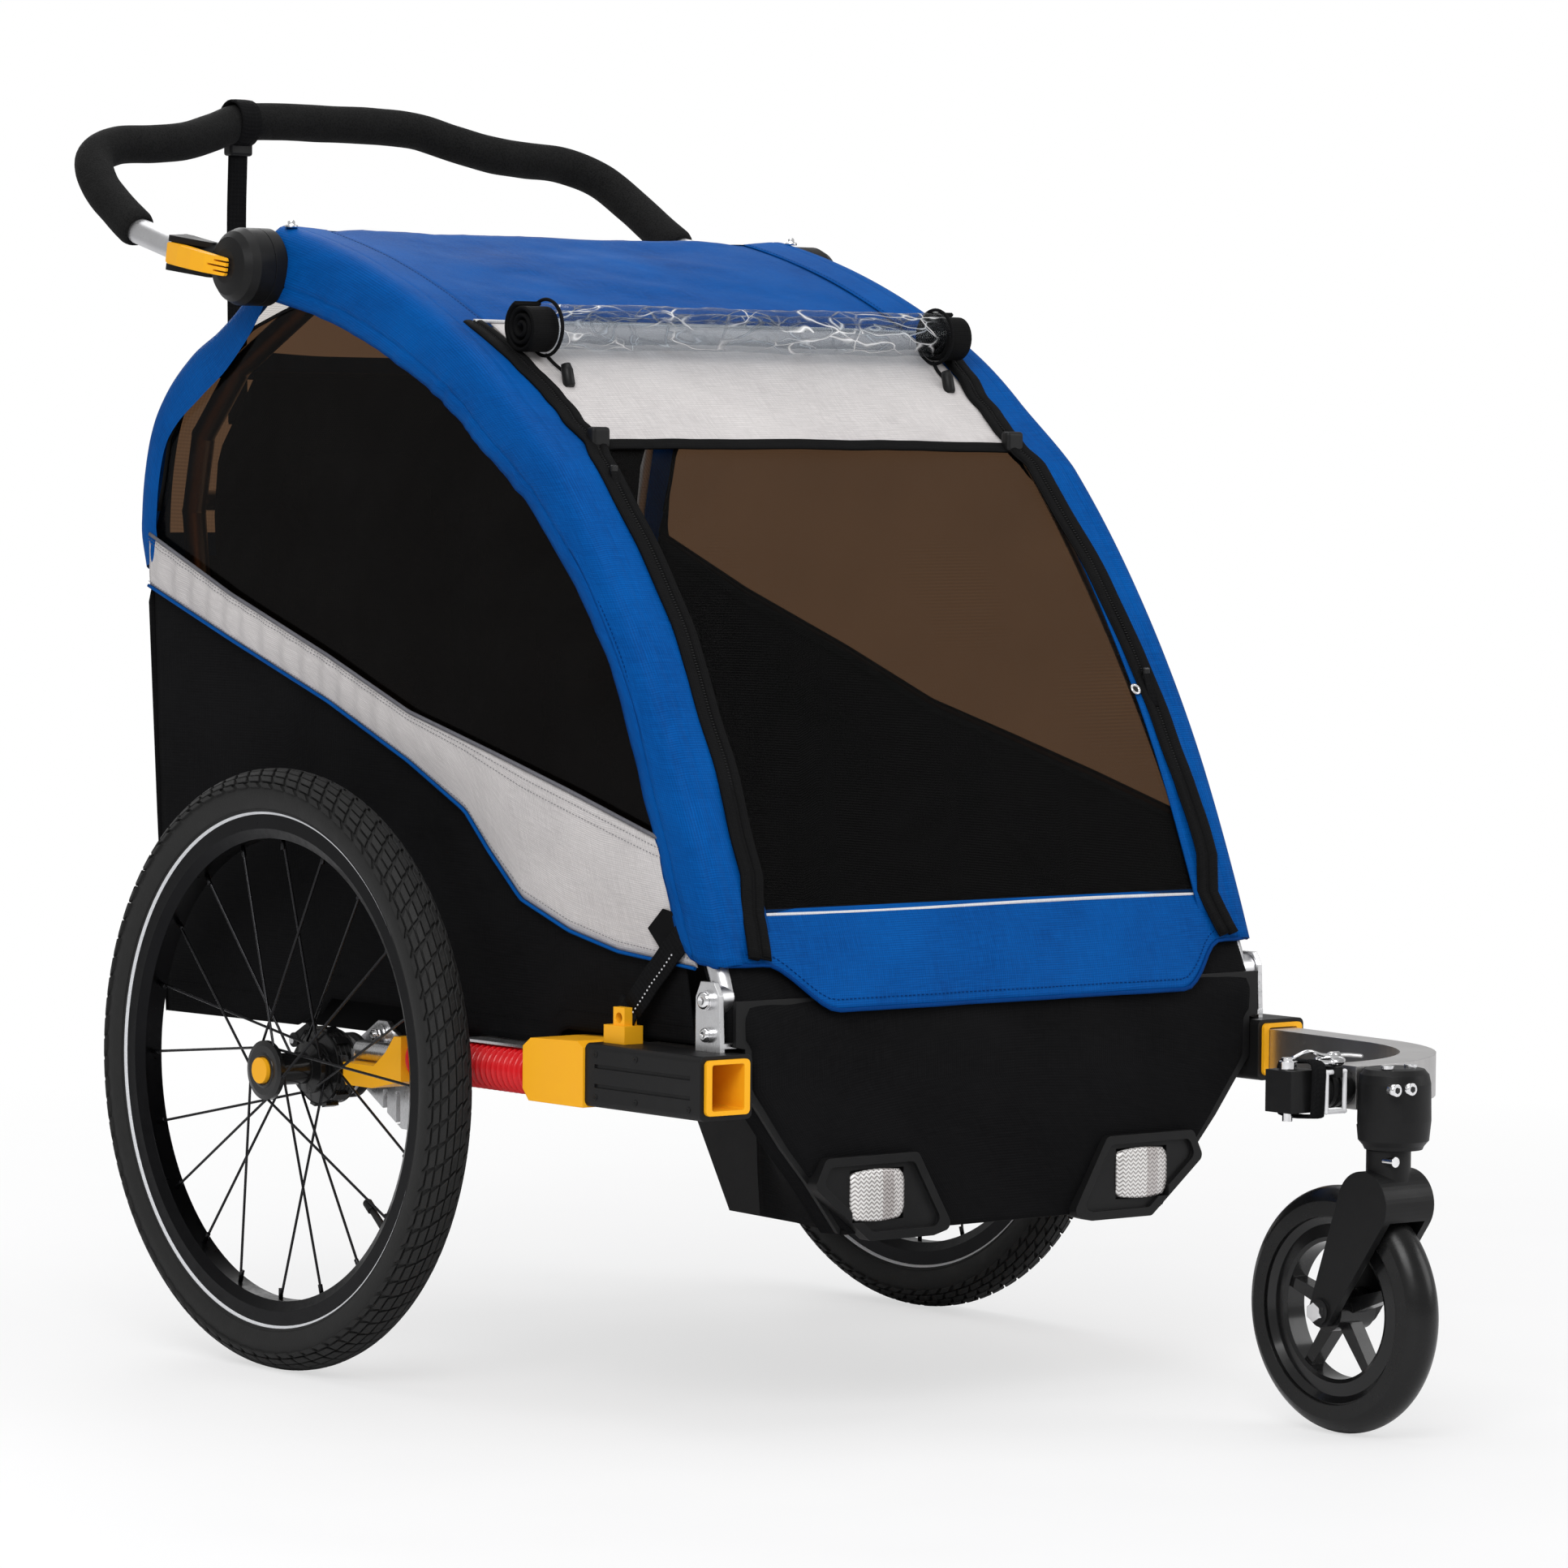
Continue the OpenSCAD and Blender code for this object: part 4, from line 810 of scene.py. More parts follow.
def make_run_repeat():
    """Sets small bars along a line: stitches, zip teeth and ribs."""
    tree, start, end = tree_named("bars along a line", (
        ("Pitch", "Float"), ("Bar", "Vector"), ("Stagger", "Float"), ("Finish", "Material")))
    curve = add(tree, "GeometryNodeMeshToCurve", None, Mesh=start.outputs["Geometry"]).outputs[0]
    dots = add(tree, "GeometryNodeCurveToPoints", {"mode": "LENGTH"}, Curve=curve,
               Length=start.outputs["Pitch"])
    facing = add(tree, "GeometryNodeInputNamedAttribute", {"data_type": "FLOAT_VECTOR"}, Name="face")
    turn = add(tree, "FunctionNodeAxesToRotation", {"primary_axis": "X", "secondary_axis": "Z"},
               Primary_Axis=dots.outputs["Tangent"],
               Secondary_Axis=facing.outputs["Attribute"]).outputs[0]
    ball = add(tree, "GeometryNodeMeshUVSphere", None, Segments=6, Rings=4, Radius=0.5).outputs[0]
    index = add(tree, "GeometryNodeInputIndex").outputs[0]
    odd = maths(tree, "SUBTRACT", maths(tree, "MULTIPLY", maths(tree, "MODULO", index, 2.0), 2.0),
                1.0)
    aside = add(tree, "ShaderNodeCombineXYZ", None,
                Y=maths(tree, "MULTIPLY", odd, start.outputs["Stagger"])).outputs[0]
    copies = add(tree, "GeometryNodeInstanceOnPoints", None, Points=dots.outputs[0], Instance=ball,
                 Rotation=turn, Scale=start.outputs["Bar"]).outputs[0]
    moved = add(tree, "GeometryNodeTranslateInstances", None, Instances=copies,
                Translation=aside).outputs[0]
    solid = add(tree, "GeometryNodeRealizeInstances", None, Geometry=moved).outputs[0]
    soft = add(tree, "GeometryNodeSetShadeSmooth", None, Geometry=solid).outputs[0]
    done = add(tree, "GeometryNodeSetMaterial", None, Geometry=soft,
               Material=start.outputs["Finish"]).outputs[0]
    tree.links.new(done, end.inputs[0])
    return tree


wheel_repeat = make_wheel_repeat()
run_repeat = make_run_repeat()


def bars_along(name, lines, pitch, bar, finish, body=None, stagger=0.0):
    """Bars along lines of (point, facing); bar is its length, width and height in millimetres."""
    points, edges, faces = [], [], []
    for line in lines:
        base = len(points)
        points += [at(*p) for p, _ in line]
        faces += [Vector(f) for _, f in line]
        edges += [(base + i, base + i + 1) for i in range(len(line) - 1)]
    mesh = bpy.data.meshes.new(name)
    mesh.from_pydata(points, edges, [])
    layer = mesh.attributes.new("face", "FLOAT_VECTOR", "POINT")
    layer.data.foreach_set("vector", [c for f in faces for c in f])
    o = run_tree(place(name, mesh), run_repeat, Pitch=pitch * 0.001, Bar=[c * 0.001 for c in bar],
                 Stagger=stagger * 0.001, Finish=finish)
    if body:
        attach(o, body)
    return o


def round_the_axle(o, count, centre, finish, body=None):
    """Repeats a piece round the X axle through (y, z)."""
    o = run_tree(o, wheel_repeat, Count=count, Axle=list(at(0, *centre)), Finish=finish)
    if body:
        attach(o, body)
    return o


def side_name(s):
    return "left" if s > 0 else "right"


def fold_flat(o):
    """Gives the piece its own copy of its mesh."""
    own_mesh(o)


def ride_fold(o):
    """Bakes the piece's placement into its mesh."""
    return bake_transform(o)


# ---------- wrist strap, which hangs from the grip ----------

def make_wrist_strap():
    line = curve_through([(STRAP_X, y, z) for y, z in STRAP_LINE], 3)
    strap = ribbon_of("wrist_strap_webbing", line, (0, 1, 0), 18, 3.6, black_webbing, "handlebar",
                      bow=0.3)
    end = slab("wrist_strap_tab", [(STRAP_X - 9.6, 427.6, 766), (STRAP_X + 9.6, 427.6, 766),
                                   (STRAP_X + 9.6, 427.4, 790), (STRAP_X - 9.6, 427.4, 790)],
               (0, -5.2, 0), black_edging, "handlebar", 1.4, 3)
    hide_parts("wrist_strap")
    # the loop round the grip and its keeper
    ways = [(0, math.sin(math.pi * k / 12), math.cos(math.pi * k / 12)) for k in range(25)]
    loop = [(STRAP_X, 424.5 + 19.0 * y, 1029 + 19.0 * z) for _, y, z in ways]
    ribbon_of("wrist_strap_loop", loop, lambda i: ways[i], 19, 2.6, black_webbing, "handlebar", bow=0.3)
    box_of("wrist_strap_keeper", (STRAP_X - 12, 421, 1000), (STRAP_X + 12, 433, 1013), moulded_black,
           "handlebar", 2.5, 3)


make_wrist_strap()


# ---------- cover: roof, side bands and front flap ----------

ZIP_LINE = ((0.05, 243), (0.35, 240), (0.7, 232), (1.14, 220), (1.5, 224), (1.85, 233),
            (2.06, 238))


def ridge(t):
    """Section across the cover beside a bow: (x, height over the bow's line, down the side)."""
    depth = band(t)
    hem = max(depth - 13, 19.5)
    section = [(ROOF_HALF, -1.2), (229, -0.6), (236, 0.0), (243, 0.5), (249, 1.0), (253.4, 1.2), (254.6, 0.8),
               (255.8, 1.3), (260, 1.7), (264, 1.4), (267.6, 0.1), (270.8, -2.6), (273.2, -6.4),
               (274.7, -11.0), (275.6, -16.0)]
    section += [(276.3, -mix(16, hem, 0.25)), (276.8, -mix(16, hem, 0.5)), (276.9, -mix(16, hem, 0.78))]
    return section + [(276.8, -hem + 1.6), (275.9, -hem), (276.9, -hem - 1.6), (276.9, -hem - 6),
                      (276.4, -depth + 3), (275.6, -depth)]


def foot_of(off):
    """Arc place where a line of the cover's side starts: level with the flap's hem, rounded behind."""
    turn = min(max((-off - 16) / 28, 0), 1)
    rise = 355 + 28 * (1 - math.sqrt(1 - turn * turn))
    t = 0.0
    while bow_at(t, off)[1] < rise:
        t += 0.004
    return t


FEET = [foot_of(off) for _, off in ridge(0.15)]


def side_point(s, q, j, lift=0.0, down=0.0):
    """Point of the cover's side on line j of its section, at share q from the foot to the roof's end."""
    t = mix(FEET[j], 3.0, q)
    x, off = ridge(t)[j]
    return cover_point(s, t, x + lift, off + down)


def cover_point(s, t, x, off):
    y, z = bow_at(t, off)
    wave = 1.3 * ripple(x, y * 0.6, z * 0.6, 46, 3.0 * s)
    if off < -12:
        share = min((-off - 12) / 26, 1.0)
        along = t * 330
        x += share * (2.1 * ripple(0, along, off * 0.35, 38, 9.0 + s)
                      + 1.3 * ripple(0, along + off * 0.5, off * 0.5, 17, 5.0 + s)
                      + 0.5 * ripple(0, along, off, 7, 2.0 + s))
    else:
        y, z = bow_at(t, off + wave * (0.5 if x < 256 else 0.25))
    return (s * x, y, z)


def flap_line(z):
    """How far forward the flat flap lies at a height."""
    return mix(FLAP_TOP[0], FLAP_LOW[0], (FLAP_TOP[1] - z) / (FLAP_TOP[1] - FLAP_LOW[1]))


def flap_point(x, down):
    """Point of the flap, draped over the top of the nose, at share down towards its hem."""
    z = mix(FLAP_TOP[1], FLAP_LOW[1] + 36 * smooth((abs(x) - 178) / 58), down)
    y = flap_line(z) - 1.0
    y += 9.0 * smooth((abs(x) - 254) / 22) + 2.2 * ripple(x, 0, z * 0.4, 60, 4.0) * down
    y -= 1.6 * math.sin(math.pi * down) + 1.2 * ripple(x, 0, z * 0.5, 24, 1.0) * down
    return (x, y, z)


def make_cover():
    parts = []
    for s in (1, -1):
        rows = [[side_point(s, k / 190, j) for j in range(len(FEET))] for k in range(191)]
        parts.append(sheet_of("cover_side", rows, blue_nylon, flip=s > 0))

    def roof_point(u, v):
        x, t = mix(-ROOF_HALF, ROOF_HALF, u), mix(ROOF_FRONT, 3, v)
        edge = 1 - abs(x) / ROOF_HALF
        sag = 3.0 * smooth(edge * 3) * math.sin(math.pi * v)
        fold = 2.4 * ripple(x * 0.3, t * 150, 0, 34, 2.0) * smooth(edge * 4)
        fold += 1.3 * ripple(x + t * 130, t * 300, 0, 40, 7.0) * smooth(edge * 4)
        fold += 0.5 * ripple(x, t * 330, 0, 15, 5.0) * smooth(edge * 6)
        return (x, *bow_at(t, -1.2 * (1 - smooth(edge * 8)) - sag + fold))

    parts.append(sheet_of("cover_roof", grid(60, 39, roof_point), blue_nylon))
    rows = grid(70, 16, lambda u, v: flap_point(mix(-271, 271, u), v))
    parts.append(sheet_of("cover_flap", rows, blue_nylon, flip=True))
    for p in parts:
        thicken(p, 1.3, -1.0, False)
    cover = join("cover_cloth", parts, "bow_frame")
    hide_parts("cover_shell")
    hang(cover)


make_cover()


def make_cover_trim():
    """Bound edges, seams and stitching of the cover."""
    ts = [0.05 + 2.93 * k / 90 for k in range(91)]
    hems, edge_lines = [], []
    for s in (1, -1):
        last = len(FEET) - 1
        foot = [side_point(s, 0.0, j) for j in range(12, last)]
        side = [side_point(s, k / 120, last) for k in range(119)]
        hems.append(tube_of("hem", foot + side, 1.5, blue_binding, sides=8))
        corner = [(side_point(s, 0.014, j, 0.5), (s, 0, 0)) for j in range(14, last - 3)]
        edge_lines.append(corner + [(side_point(s, 0.014 + k / 122, last, 1.2, 5.5), (s, 0, 0))
                                    for k in range(119)])
        edge_lines.append([(cover_point(s, t, 277.0, -band(t) + 15.5), (s, 0, 0)) for t in ts[4:]])
        for x in (251.5, 258.0):
            edge_lines.append([(cover_point(s, t, x, 1.8), up_of(t)) for t in ts[4:]])
    for x in (-1, 1):
        edge_lines.append([(cover_point(x, t, 225.0, 0.4), up_of(t)) for t in ts if t > 2.08])
    hem_line, flap_stitch = [], []
    for i in range(71):
        x, y, z = flap_point(-270 + 540 * i / 70, 1.0)
        hem_line.append((x, y - 0.4, z))
        flap_stitch.append(((x, y + 3.2, z + 8), (0, -1, 0.4)))
    hems.append(tube_of("hem", hem_line, 1.6, blue_binding, sides=8))
    edge_lines.append(flap_stitch)
    join("cover_hems", hems, "bow_frame")
    bars_along("cover_stitches", edge_lines, 4.2, (3.2, 0.9, 0.7), blue_thread, "bow_frame")
    # white piping over the flap and in front of the roof
    top = [(x, FLAP_TOP[0] - 2.6 + 7.0 * smooth((abs(x) - 262) / 14),
            FLAP_TOP[1] - 4 + 0.8 * math.sin(x / 70)) for x in range(-268, 269, 8)]
    roof = [(x, *bow_at(ROOF_FRONT + 0.01, 1.6 + 0.6 * math.sin(x / 60))) for x in range(-236, 237, 8)]
    join("cover_piping", [tube_of("piping", top, 1.5, white_piping, sides=10),
                          tube_of("piping", roof, 1.5, white_piping, sides=10)], "bow_frame")


def up_of(t):
    (y0, z0), (y1, z1) = bow_at(t, 0), bow_at(t, 10)
    return (0, (y1 - y0) / 10, (z1 - z0) / 10)


make_cover_trim()


def zip_point(s, t, lift):
    x = table(ZIP_LINE, t)
    if s < 0:
        x -= 12 * (1 - smooth((t - 0.65) / 0.4))
    x += 4.6 * ripple(t * 330, 0, 0, 42, 2.5 + s) * smooth((t - 0.12) / 0.25) * smooth((1.9 - t) / 0.5)
    return (s * x, *bow_at(t, 1.6 + lift))


def eyelet_at(t, centre, size, wire):
    """A metal eyelet lying on the cover at an arc place t."""
    up = up_of(t)
    across = (0, up[2], -up[1])
    ring = [(centre[0] + size * math.cos(a), centre[1] + size * math.sin(a) * across[1] + up[1],
             centre[2] + size * math.sin(a) * across[2] + up[2]) for a in around(24)]
    return tube_of("eyelet", ring, wire, plate_silver, sides=10, closed=True)


def make_zips():
    ts = [0.20 + 1.85 * k / 80 for k in range(81)]
    tapes, teeth = [], []
    for s in (1, -1):
        # the lower end hangs over the flap
        line = [(s * x, flap_line(z) - 5.6, z)
                for x, z in ((242, 361), (240, 368), (238, 377), (236, 387), (235, 394))]
        ups = [(0, -0.88, 0.47)] * 5 + [up_of(t) for t in ts]
        line += [zip_point(s, t, 0.6 + 0.8 * ripple(0, t * 300, 0, 30, s)
                           + 1.8 * math.exp(-((t - 0.2) / 0.16) ** 2)) for t in ts]
        tapes.append(ribbon_of("zip_tape", line, lambda i: ups[i], 20.0, 1.4, black_edging))
        for side, wide in ((-5.6, 6.0), (6.2, 8.5)):
            fold_line = [(p[0] + s * side, p[1], p[2]) for p in line]
            tapes.append(ribbon_of("zip_fold", fold_line, lambda i: ups[i], wide, 3.4,
                                   black_edging, bow=0.6))
        teeth.append([((p[0], *bow_at(t, 3.1)), up_of(t)) for p, t in zip(line[5:], ts)])
    join("zip_tapes", tapes, "bow_frame")
    bars_along("zip_teeth", teeth, 2.4, (1.3, 3.4, 1.6), moulded_black, "bow_frame", stagger=0.4)
    pulls = []
    for s, t in ((1, 0.55), (-1, 0.98)):
        x, y, z = zip_point(s, t, 5.0)
        a, b = bow_at(t - 0.045, 6.2)
        pulls.append(box_of("slider", (x - 3.5, y - 2, z - 7), (x + 3.5, y + 1, z + 3), glossy_black, None,
                            1.2))
        pulls.append(ribbon_of("pull", [(x, y - 2, z - 2), (x, y - 5, z - 12), (x, a - 2, b - 10)],
                               (0, -1, 0.3), 7, 2.0, black_webbing))
    join("zip_pulls", pulls, "bow_frame")
    # an eyelet in the blue strip beside the left zip, with a black plug in its ring as painted shade in the
    # hole
    y, z = bow_at(0.52, 1.0)
    eyelets = [eyelet_at(0.52, (table(ZIP_LINE, 0.52) - 14, y, z), 3.9, 1.2)]
    eyelets.append(tube_of("eye", [(table(ZIP_LINE, 0.52) - 14, y + 0.5 * k, z - 0.3 * k) for k in (-2, 2)],
                           3.0, glossy_black, sides=16))
    join("cover_eyelets", eyelets, "bow_frame")


make_zips()


def make_screen():
    def net_point(u, v):
        x, t = mix(-224, 224, u), 0.10 + (ROOF_FRONT - 0.08) * v
        return (x, *bow_at(t, -2.6 - 3.0 * math.cos(x / ROOF_HALF * math.pi / 2)
                           + 0.7 * ripple(x, t * 200, 0, 90, 5.0)))

    def shade_point(u, v):
        x, t = mix(-219, 219, u), mix(SHADE_END, ROOF_FRONT + 0.03, v)
        loose = smooth((ROOF_FRONT - t) / 0.7)
        return (x, *bow_at(t, 1.6 - 1.2 * (abs(x) / 219) ** 4 + loose * (
            1.8 * ripple(x, t * 120, 0, 85, 8.0) + 0.7 * ripple(x, t * 150, 0, 30, 3.0))))

    net = sheet_of("front_screen_net", grid(40, 60, net_point), front_net, "bow_frame")
    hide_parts("front_screen")
    hang(net)
    rows = grid(60, 30, shade_point)
    shade = sheet_of("sun_shade_cloth", rows, pale_nylon)
    low = rows[0]
    thicken(shade, 1.1, -1.0, False)
    shade = settle(shade)
    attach(shade, "bow_frame")
    edge = ribbon_of("sun_shade_edge", low, up_of(SHADE_END), 9.0, 2.6, black_edging, "bow_frame")
    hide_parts("sun_shade")
    hang(shade)
    # small keepers that hold the shade's corners to the zips
    tabs = []
    for s in (1, -1):
        x = 216
        y, z = bow_at(SHADE_END + 0.02, 3.5)
        tabs.append(box_of("tab", (s * x - 9, y - 7, z - 8), (s * x + 9, y + 3, z + 9), moulded_black,
                           None, 3.0, 3))
    join("shade_keepers", tabs, "bow_frame")


make_screen()


def make_rain_roll():
    """Clear cover rolled up under the roof's front, with bound ends and cord locks."""
    cy, cz = bow_at(1.82, 23.5)

    def roll_point(u, v):
        x, a = mix(-206, 206, v), 2 * math.pi * 2.4 * u
        r = 8.5 + 12.0 * u
        r += 1.5 * ripple(x * 0.8, 40 * math.cos(a), 40 * math.sin(a), 34, 11.0)
        r += 0.8 * ripple(x, 30 * math.cos(a), 30 * math.sin(a), 13, 2.0)
        return (x, cy + r * math.cos(a + 0.6), cz + r * math.sin(a + 0.6))

    roll = sheet_of("rain_cover_roll", grid(66, 72, roll_point), clear_vinyl, "bow_frame")
    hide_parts("rain_roll")
    hang(roll)
    ends, locks = [], []
    for s in (1, -1):
        line, ways = [], []
        for k in range(97):
            a = 2 * math.pi * 3.1 * k / 96
            r = 3.0 + 17.6 * k / 96
            line.append((s * 216.5, cy + r * math.cos(a + 0.6), cz + r * math.sin(a + 0.6)))
            ways.append((0, math.cos(a + 0.6), math.sin(a + 0.6)))
        ends.append(ribbon_of("roll_end", line, lambda i: ways[i], 25, 3.2, black_edging))
        # elastic loop round the roll and its barrel lock against the shade
        loop = [(s * 204, cy + 22.5 * math.cos(b), cz + 22.5 * math.sin(b))
                for b in around(40)]
        locks.append(tube_of("loop", loop, 1.5, black_webbing, sides=8, closed=True))
        y, z = bow_at(1.60, 5.0)
        locks.append(tube_of("lock", [(s * 199, y + 2, z + 9), (s * 199, y, z + 4), (s * 199, y - 3, z - 7),
                                      (s * 199, y - 4, z - 9)],
                             lambda q: 3.6 + 1.6 * math.sin(math.pi * min(max(q, 0.05), 0.95)),
                             moulded_black, sides=14))
        tie = [(s * 203, *bow_at(1.76, 5.0)), (s * 201, *bow_at(1.70, 4.0)), (s * 199, *bow_at(1.62, 5.0))]
        locks.append(tube_of("tie", tie, 1.5, black_webbing, sides=8))
    join("roll_ends", ends, "bow_frame")
    join("roll_locks", locks, "bow_frame")


make_rain_roll()


# ---------- side walls, stripe, windows and back ----------

WALL_FOOT = ((-452, 294), (-286, 294), (-276, 281), (50, 281), (74, 270), (267, 268))


def wall_point(s, u, v):
    """Black side: u runs from front to rear and v from the foot to behind the stripe's top."""
    y0, y1 = mix(-452, 267, u), mix(-424, 292, u)
    # cut higher over the axle and the spring, which move up past the hem
    z0 = table(WALL_FOOT, y0) + 14 * smooth(min(y0 + 140, 42 - y0) / 14)
    z1 = table(STRIPE_TOP, y1) - 2
    y, z = mix(y0, y1, v), mix(z0, z1, v)
    swell = math.sin(math.pi * v) ** 0.7 * math.sin(math.pi * min(max(u, 0.02), 0.98)) ** 0.5
    swell *= smooth((table(STRIPE_LOW, y) + 4 - z) / 26)
    fold = 2.2 * ripple(0, y * 0.7 + z * 0.5, z * 1.2 - y * 0.25, 62, 4.0 + s)
    fold += 1.0 * ripple(0, y * 0.6 + z * 0.4, z * 1.3, 26, 1.0 + s)
    return (s * (271.8 + 2.2 * swell + fold * swell), y, z)


def stripe_point(s, u, v):
    """Pale stripe, gathered towards the rear: v runs from its low edge to its top edge."""
    y = mix(-456 + 37 * v, 292, u)
    z0, z1 = table(STRIPE_LOW, y), table(STRIPE_TOP, y)
    z = mix(z0, z1, v)
    gather = smooth((u - 0.42) / 0.25)
    puff = math.sin(math.pi * v) ** 0.8
    pleat = math.sin(y / 13.5 * math.pi + 0.8 * math.sin(y / 31) + 1.4 * (v - 0.5))
    free = smooth((y + 436) / 40)
    puff *= free
    x = 274.2 + 1.0 * free + 2.0 * puff + gather * puff * (1.5 * pleat + 0.8 * ripple(0, y, z, 17, 3.0 + s))
    x += (1 - gather) * puff * 1.8 * ripple(0, y * 0.6, z, 44, 6.0 + s)
    return (s * x, y, z)


WINDOW_TOP = [p for p in (bow_at(t, 7 - band(t)) for t in (0.25 + 0.05 * k for k in range(56)))
              if p[0] < 70]
WINDOW_TOP += [(96, 858), (146, 843), (196, 812), (244, 782), (268, 752), (280, 700), (292, 672)]


def window_top(y):
    """Height of the side window's upper edge under the cover's band."""
    return table(WINDOW_TOP, y)


def make_sides():
    for s in (1, -1):
        n = side_name(s)
        rows = grid(90, 40, lambda u, v: wall_point(s, u, v))
        wall = sheet_of("wall_" + n, rows, black_canvas, flip=s < 0)
        thicken(wall, 1.4, -1.0, False)
        rows = grid(240, 14, lambda u, v: stripe_point(s, u, v))
        stripe = sheet_of("stripe_" + n, rows, pale_nylon, flip=s < 0)
        thicken(stripe, 1.6, -1.0, False)
        low = [stripe_point(s, u / 120, 0.0) for u in range(121)]
        pipe = tube_of("pipe", [(p[0] + s * 1.4, p[1], p[2] - 0.6) for p in low], 1.5, blue_nylon,
                       sides=8)
        top = [stripe_point(s, u / 120, 1.0) for u in range(121)]
        bind = tube_of("bind", [(p[0] + s * 0.6, p[1], p[2] + 1.0) for p in top], 1.7, grey_thread,
                       sides=8, flat=0.7)
        side = join("side_cloth_" + n, [wall, stripe, pipe, bind])
        hang(side)
        ride_fold(side)
        seams = []
        for v in (0.07, 0.86, 0.93):
            seams.append([((p[0] + s * 0.7, p[1], p[2]), (s, 0, 0))
                          for p in (stripe_point(s, u / 160, v) for u in range(161))])
        foot = [wall_point(s, u / 60, 0.05) for u in range(61)]
        stitches = bars_along("side_stitches_" + n, seams, 4.0, (2.9, 0.55, 0.5), grey_thread)
        ride_fold(stitches)
        hem = bars_along("side_hem_" + n, [[((p[0] + s * 0.5, p[1], p[2] + 6), (s, 0, 0)) for p in foot]],
                         4.0, (2.8, 0.5, 0.45), black_edging)
        ride_fold(hem)

        def window_point(u, v):
            y = mix(-418, 291, u)
            low = table(STRIPE_TOP, y) - 2
            z = mix(low, max(window_top(y), low + 1), v)
            return (s * (270.6 + 1.1 * ripple(0, y, z, 120, 2.0 + s)), y, z)

        window = sheet_of("side_window_" + n, grid(96, 24, window_point), window_film, flip=s < 0)
        hang(window)
        ride_fold(window)
        edge = [(s * 271.4, y, window_top(y)) for y in range(-420, 292, 8)]
        frame_edge = tube_of("side_window_edge_" + n, edge, 2.2, black_edging, sides=8, flat=0.6)
        ride_fold(frame_edge)
        # webbing hem that wraps the rail under the wall
        box_of("rail_wrap_" + n, (min(s * 248.2, s * 249.6), -430, 268.6),
               (max(s * 248.2, s * 249.6), 232, 293.5), black_webbing, "chassis", 0.4, 1)
        if s > 0:
            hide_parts("side_windows")
            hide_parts("body_fabric")


make_sides()


REAR_CURVE = spaced(curve_through([(y, z, 0) for y, z in REAR_LINE], 6), 61)


def make_back():
    rows = []
    for k in range(61):
        q = k / 60
        p = REAR_CURVE[k]
        d = (REAR_CURVE[min(k + 1, 60)] - REAR_CURVE[max(k - 1, 0)]).normalized()
        inward = Vector((d.y, -d.x, 0))
        if inward.x > 0:
            inward = -inward
        width = mix(30, 34, q) + 13 * math.exp(-((q - 0.42) / 0.2) ** 2)
        row = []
        xs = [mix(-ROOF_HALF, ROOF_HALF, i / 36) for i in range(37)]
        side = [(ROOF_HALF, 0.0), (238, 0.6), (250, 1.0), (258, 0.6), (265, -1.4), (270, -4.6), (273.6, -9.5),
                (275.2, -16), (275.8, -22), (275.6, -28), (275.0, -width)]
        section = [(-x, o) for x, o in reversed(side[1:])] + [(x, 0.0) for x in xs] + side[1:]
        for x, off in section:
            puff = 0.8 * ripple(x, p.x * 1.5, p.y, 60, 3.0) if abs(x) < 250 else 0.0
            sag = -3.5 * smooth((ROOF_HALF - abs(x)) / 90) * smooth((0.92 - q) / 0.1)
            over_hem = 3.0 * smooth((q - 0.86) / 0.08)
            reach = off + puff + sag + over_hem
            row.append((x, p.x - inward.x * reach, p.y - inward.y * reach))
        rows.append(row)

    def part(i, k):
        inside = 9 <= i < 46
        upper = 7 <= k < 26
        lower = 32 <= k < 55
        return 1 if inside and (upper or lower) else 0

    top = sheet_of("back_cloth_top", rows, blue_nylon, pick=part, slots=(rear_net,))
    ride_fold(top)
    hang(top)

    def low_point(u, v):
        x, z = mix(-273, 273, u), mix(268, 652, v)
        y0 = table(((268, 266.5), (440, 281.5), (620, 295.5), (650, 303)), z)
        give = math.sin(math.pi * v) * (1 - (x / 273) ** 4)
        y = y0 + 2.0 + give * (3.5 + 3.0 * ripple(x, 0, z * 0.7, 90, 5.0)
                               + 1.2 * ripple(x, 0, z, 34, 2.0))
        y -= 12 * smooth((abs(x) - 256) / 17) * smooth((v - 0.9) / 0.06)
        return (x, y, z)

    low = sheet_of("back_cloth_low", grid(60, 40, low_point), black_canvas)
    thicken(low, 1.6, 1.0, False)
    low = settle(low)
    ride_fold(low)
    hang(low)

    def pocket_point(u, v):
        x = mix(-214, 214, u)
        aside = abs(x) / 214
        z = mix(306, 512, v) - 8 * v * (1 - aside ** 2)
        y0 = table(((280, 270.5), (440, 284.5), (620, 298.5)), z)
        out = (1 - aside ** 6) * (6 + 12 * math.sin(math.pi * min(v + 0.12, 1.0)) ** 0.8)
        out += 1.2 * (1 - aside ** 6) * math.sin(x / 9.0) * smooth((v - 0.6) / 0.4)
        return (x, y0 + 4 + out, z)

    # luggage pocket with a bound, gathered top
    rows = grid(52, 16, pocket_point)
    pocket = sheet_of("pocket", rows, black_canvas)
    thicken(pocket, 1.4, 1.0, False)
    rim = tube_of("pocket_rim", rows[-1], 2.4, black_edging, sides=8)
    pocket = join("back_pocket", [pocket, rim])
    ride_fold(pocket)
    hang(pocket)
    foot = REAR_CURVE[60]
    hem = tube_of("back_hem", [(x, foot.x + 5.0, foot.y + 1) for x in range(-264, 265, 8)], 2.0,
                  blue_binding, sides=8)
    ride_fold(hem)


make_back()


# ---------- nose ----------

NOSE_EDGE = ((147, 168), (188, 200), (216, 225), (247, 249), (262, 261), (294, 262), (300, 268),
             (330, 270), (396, 270))


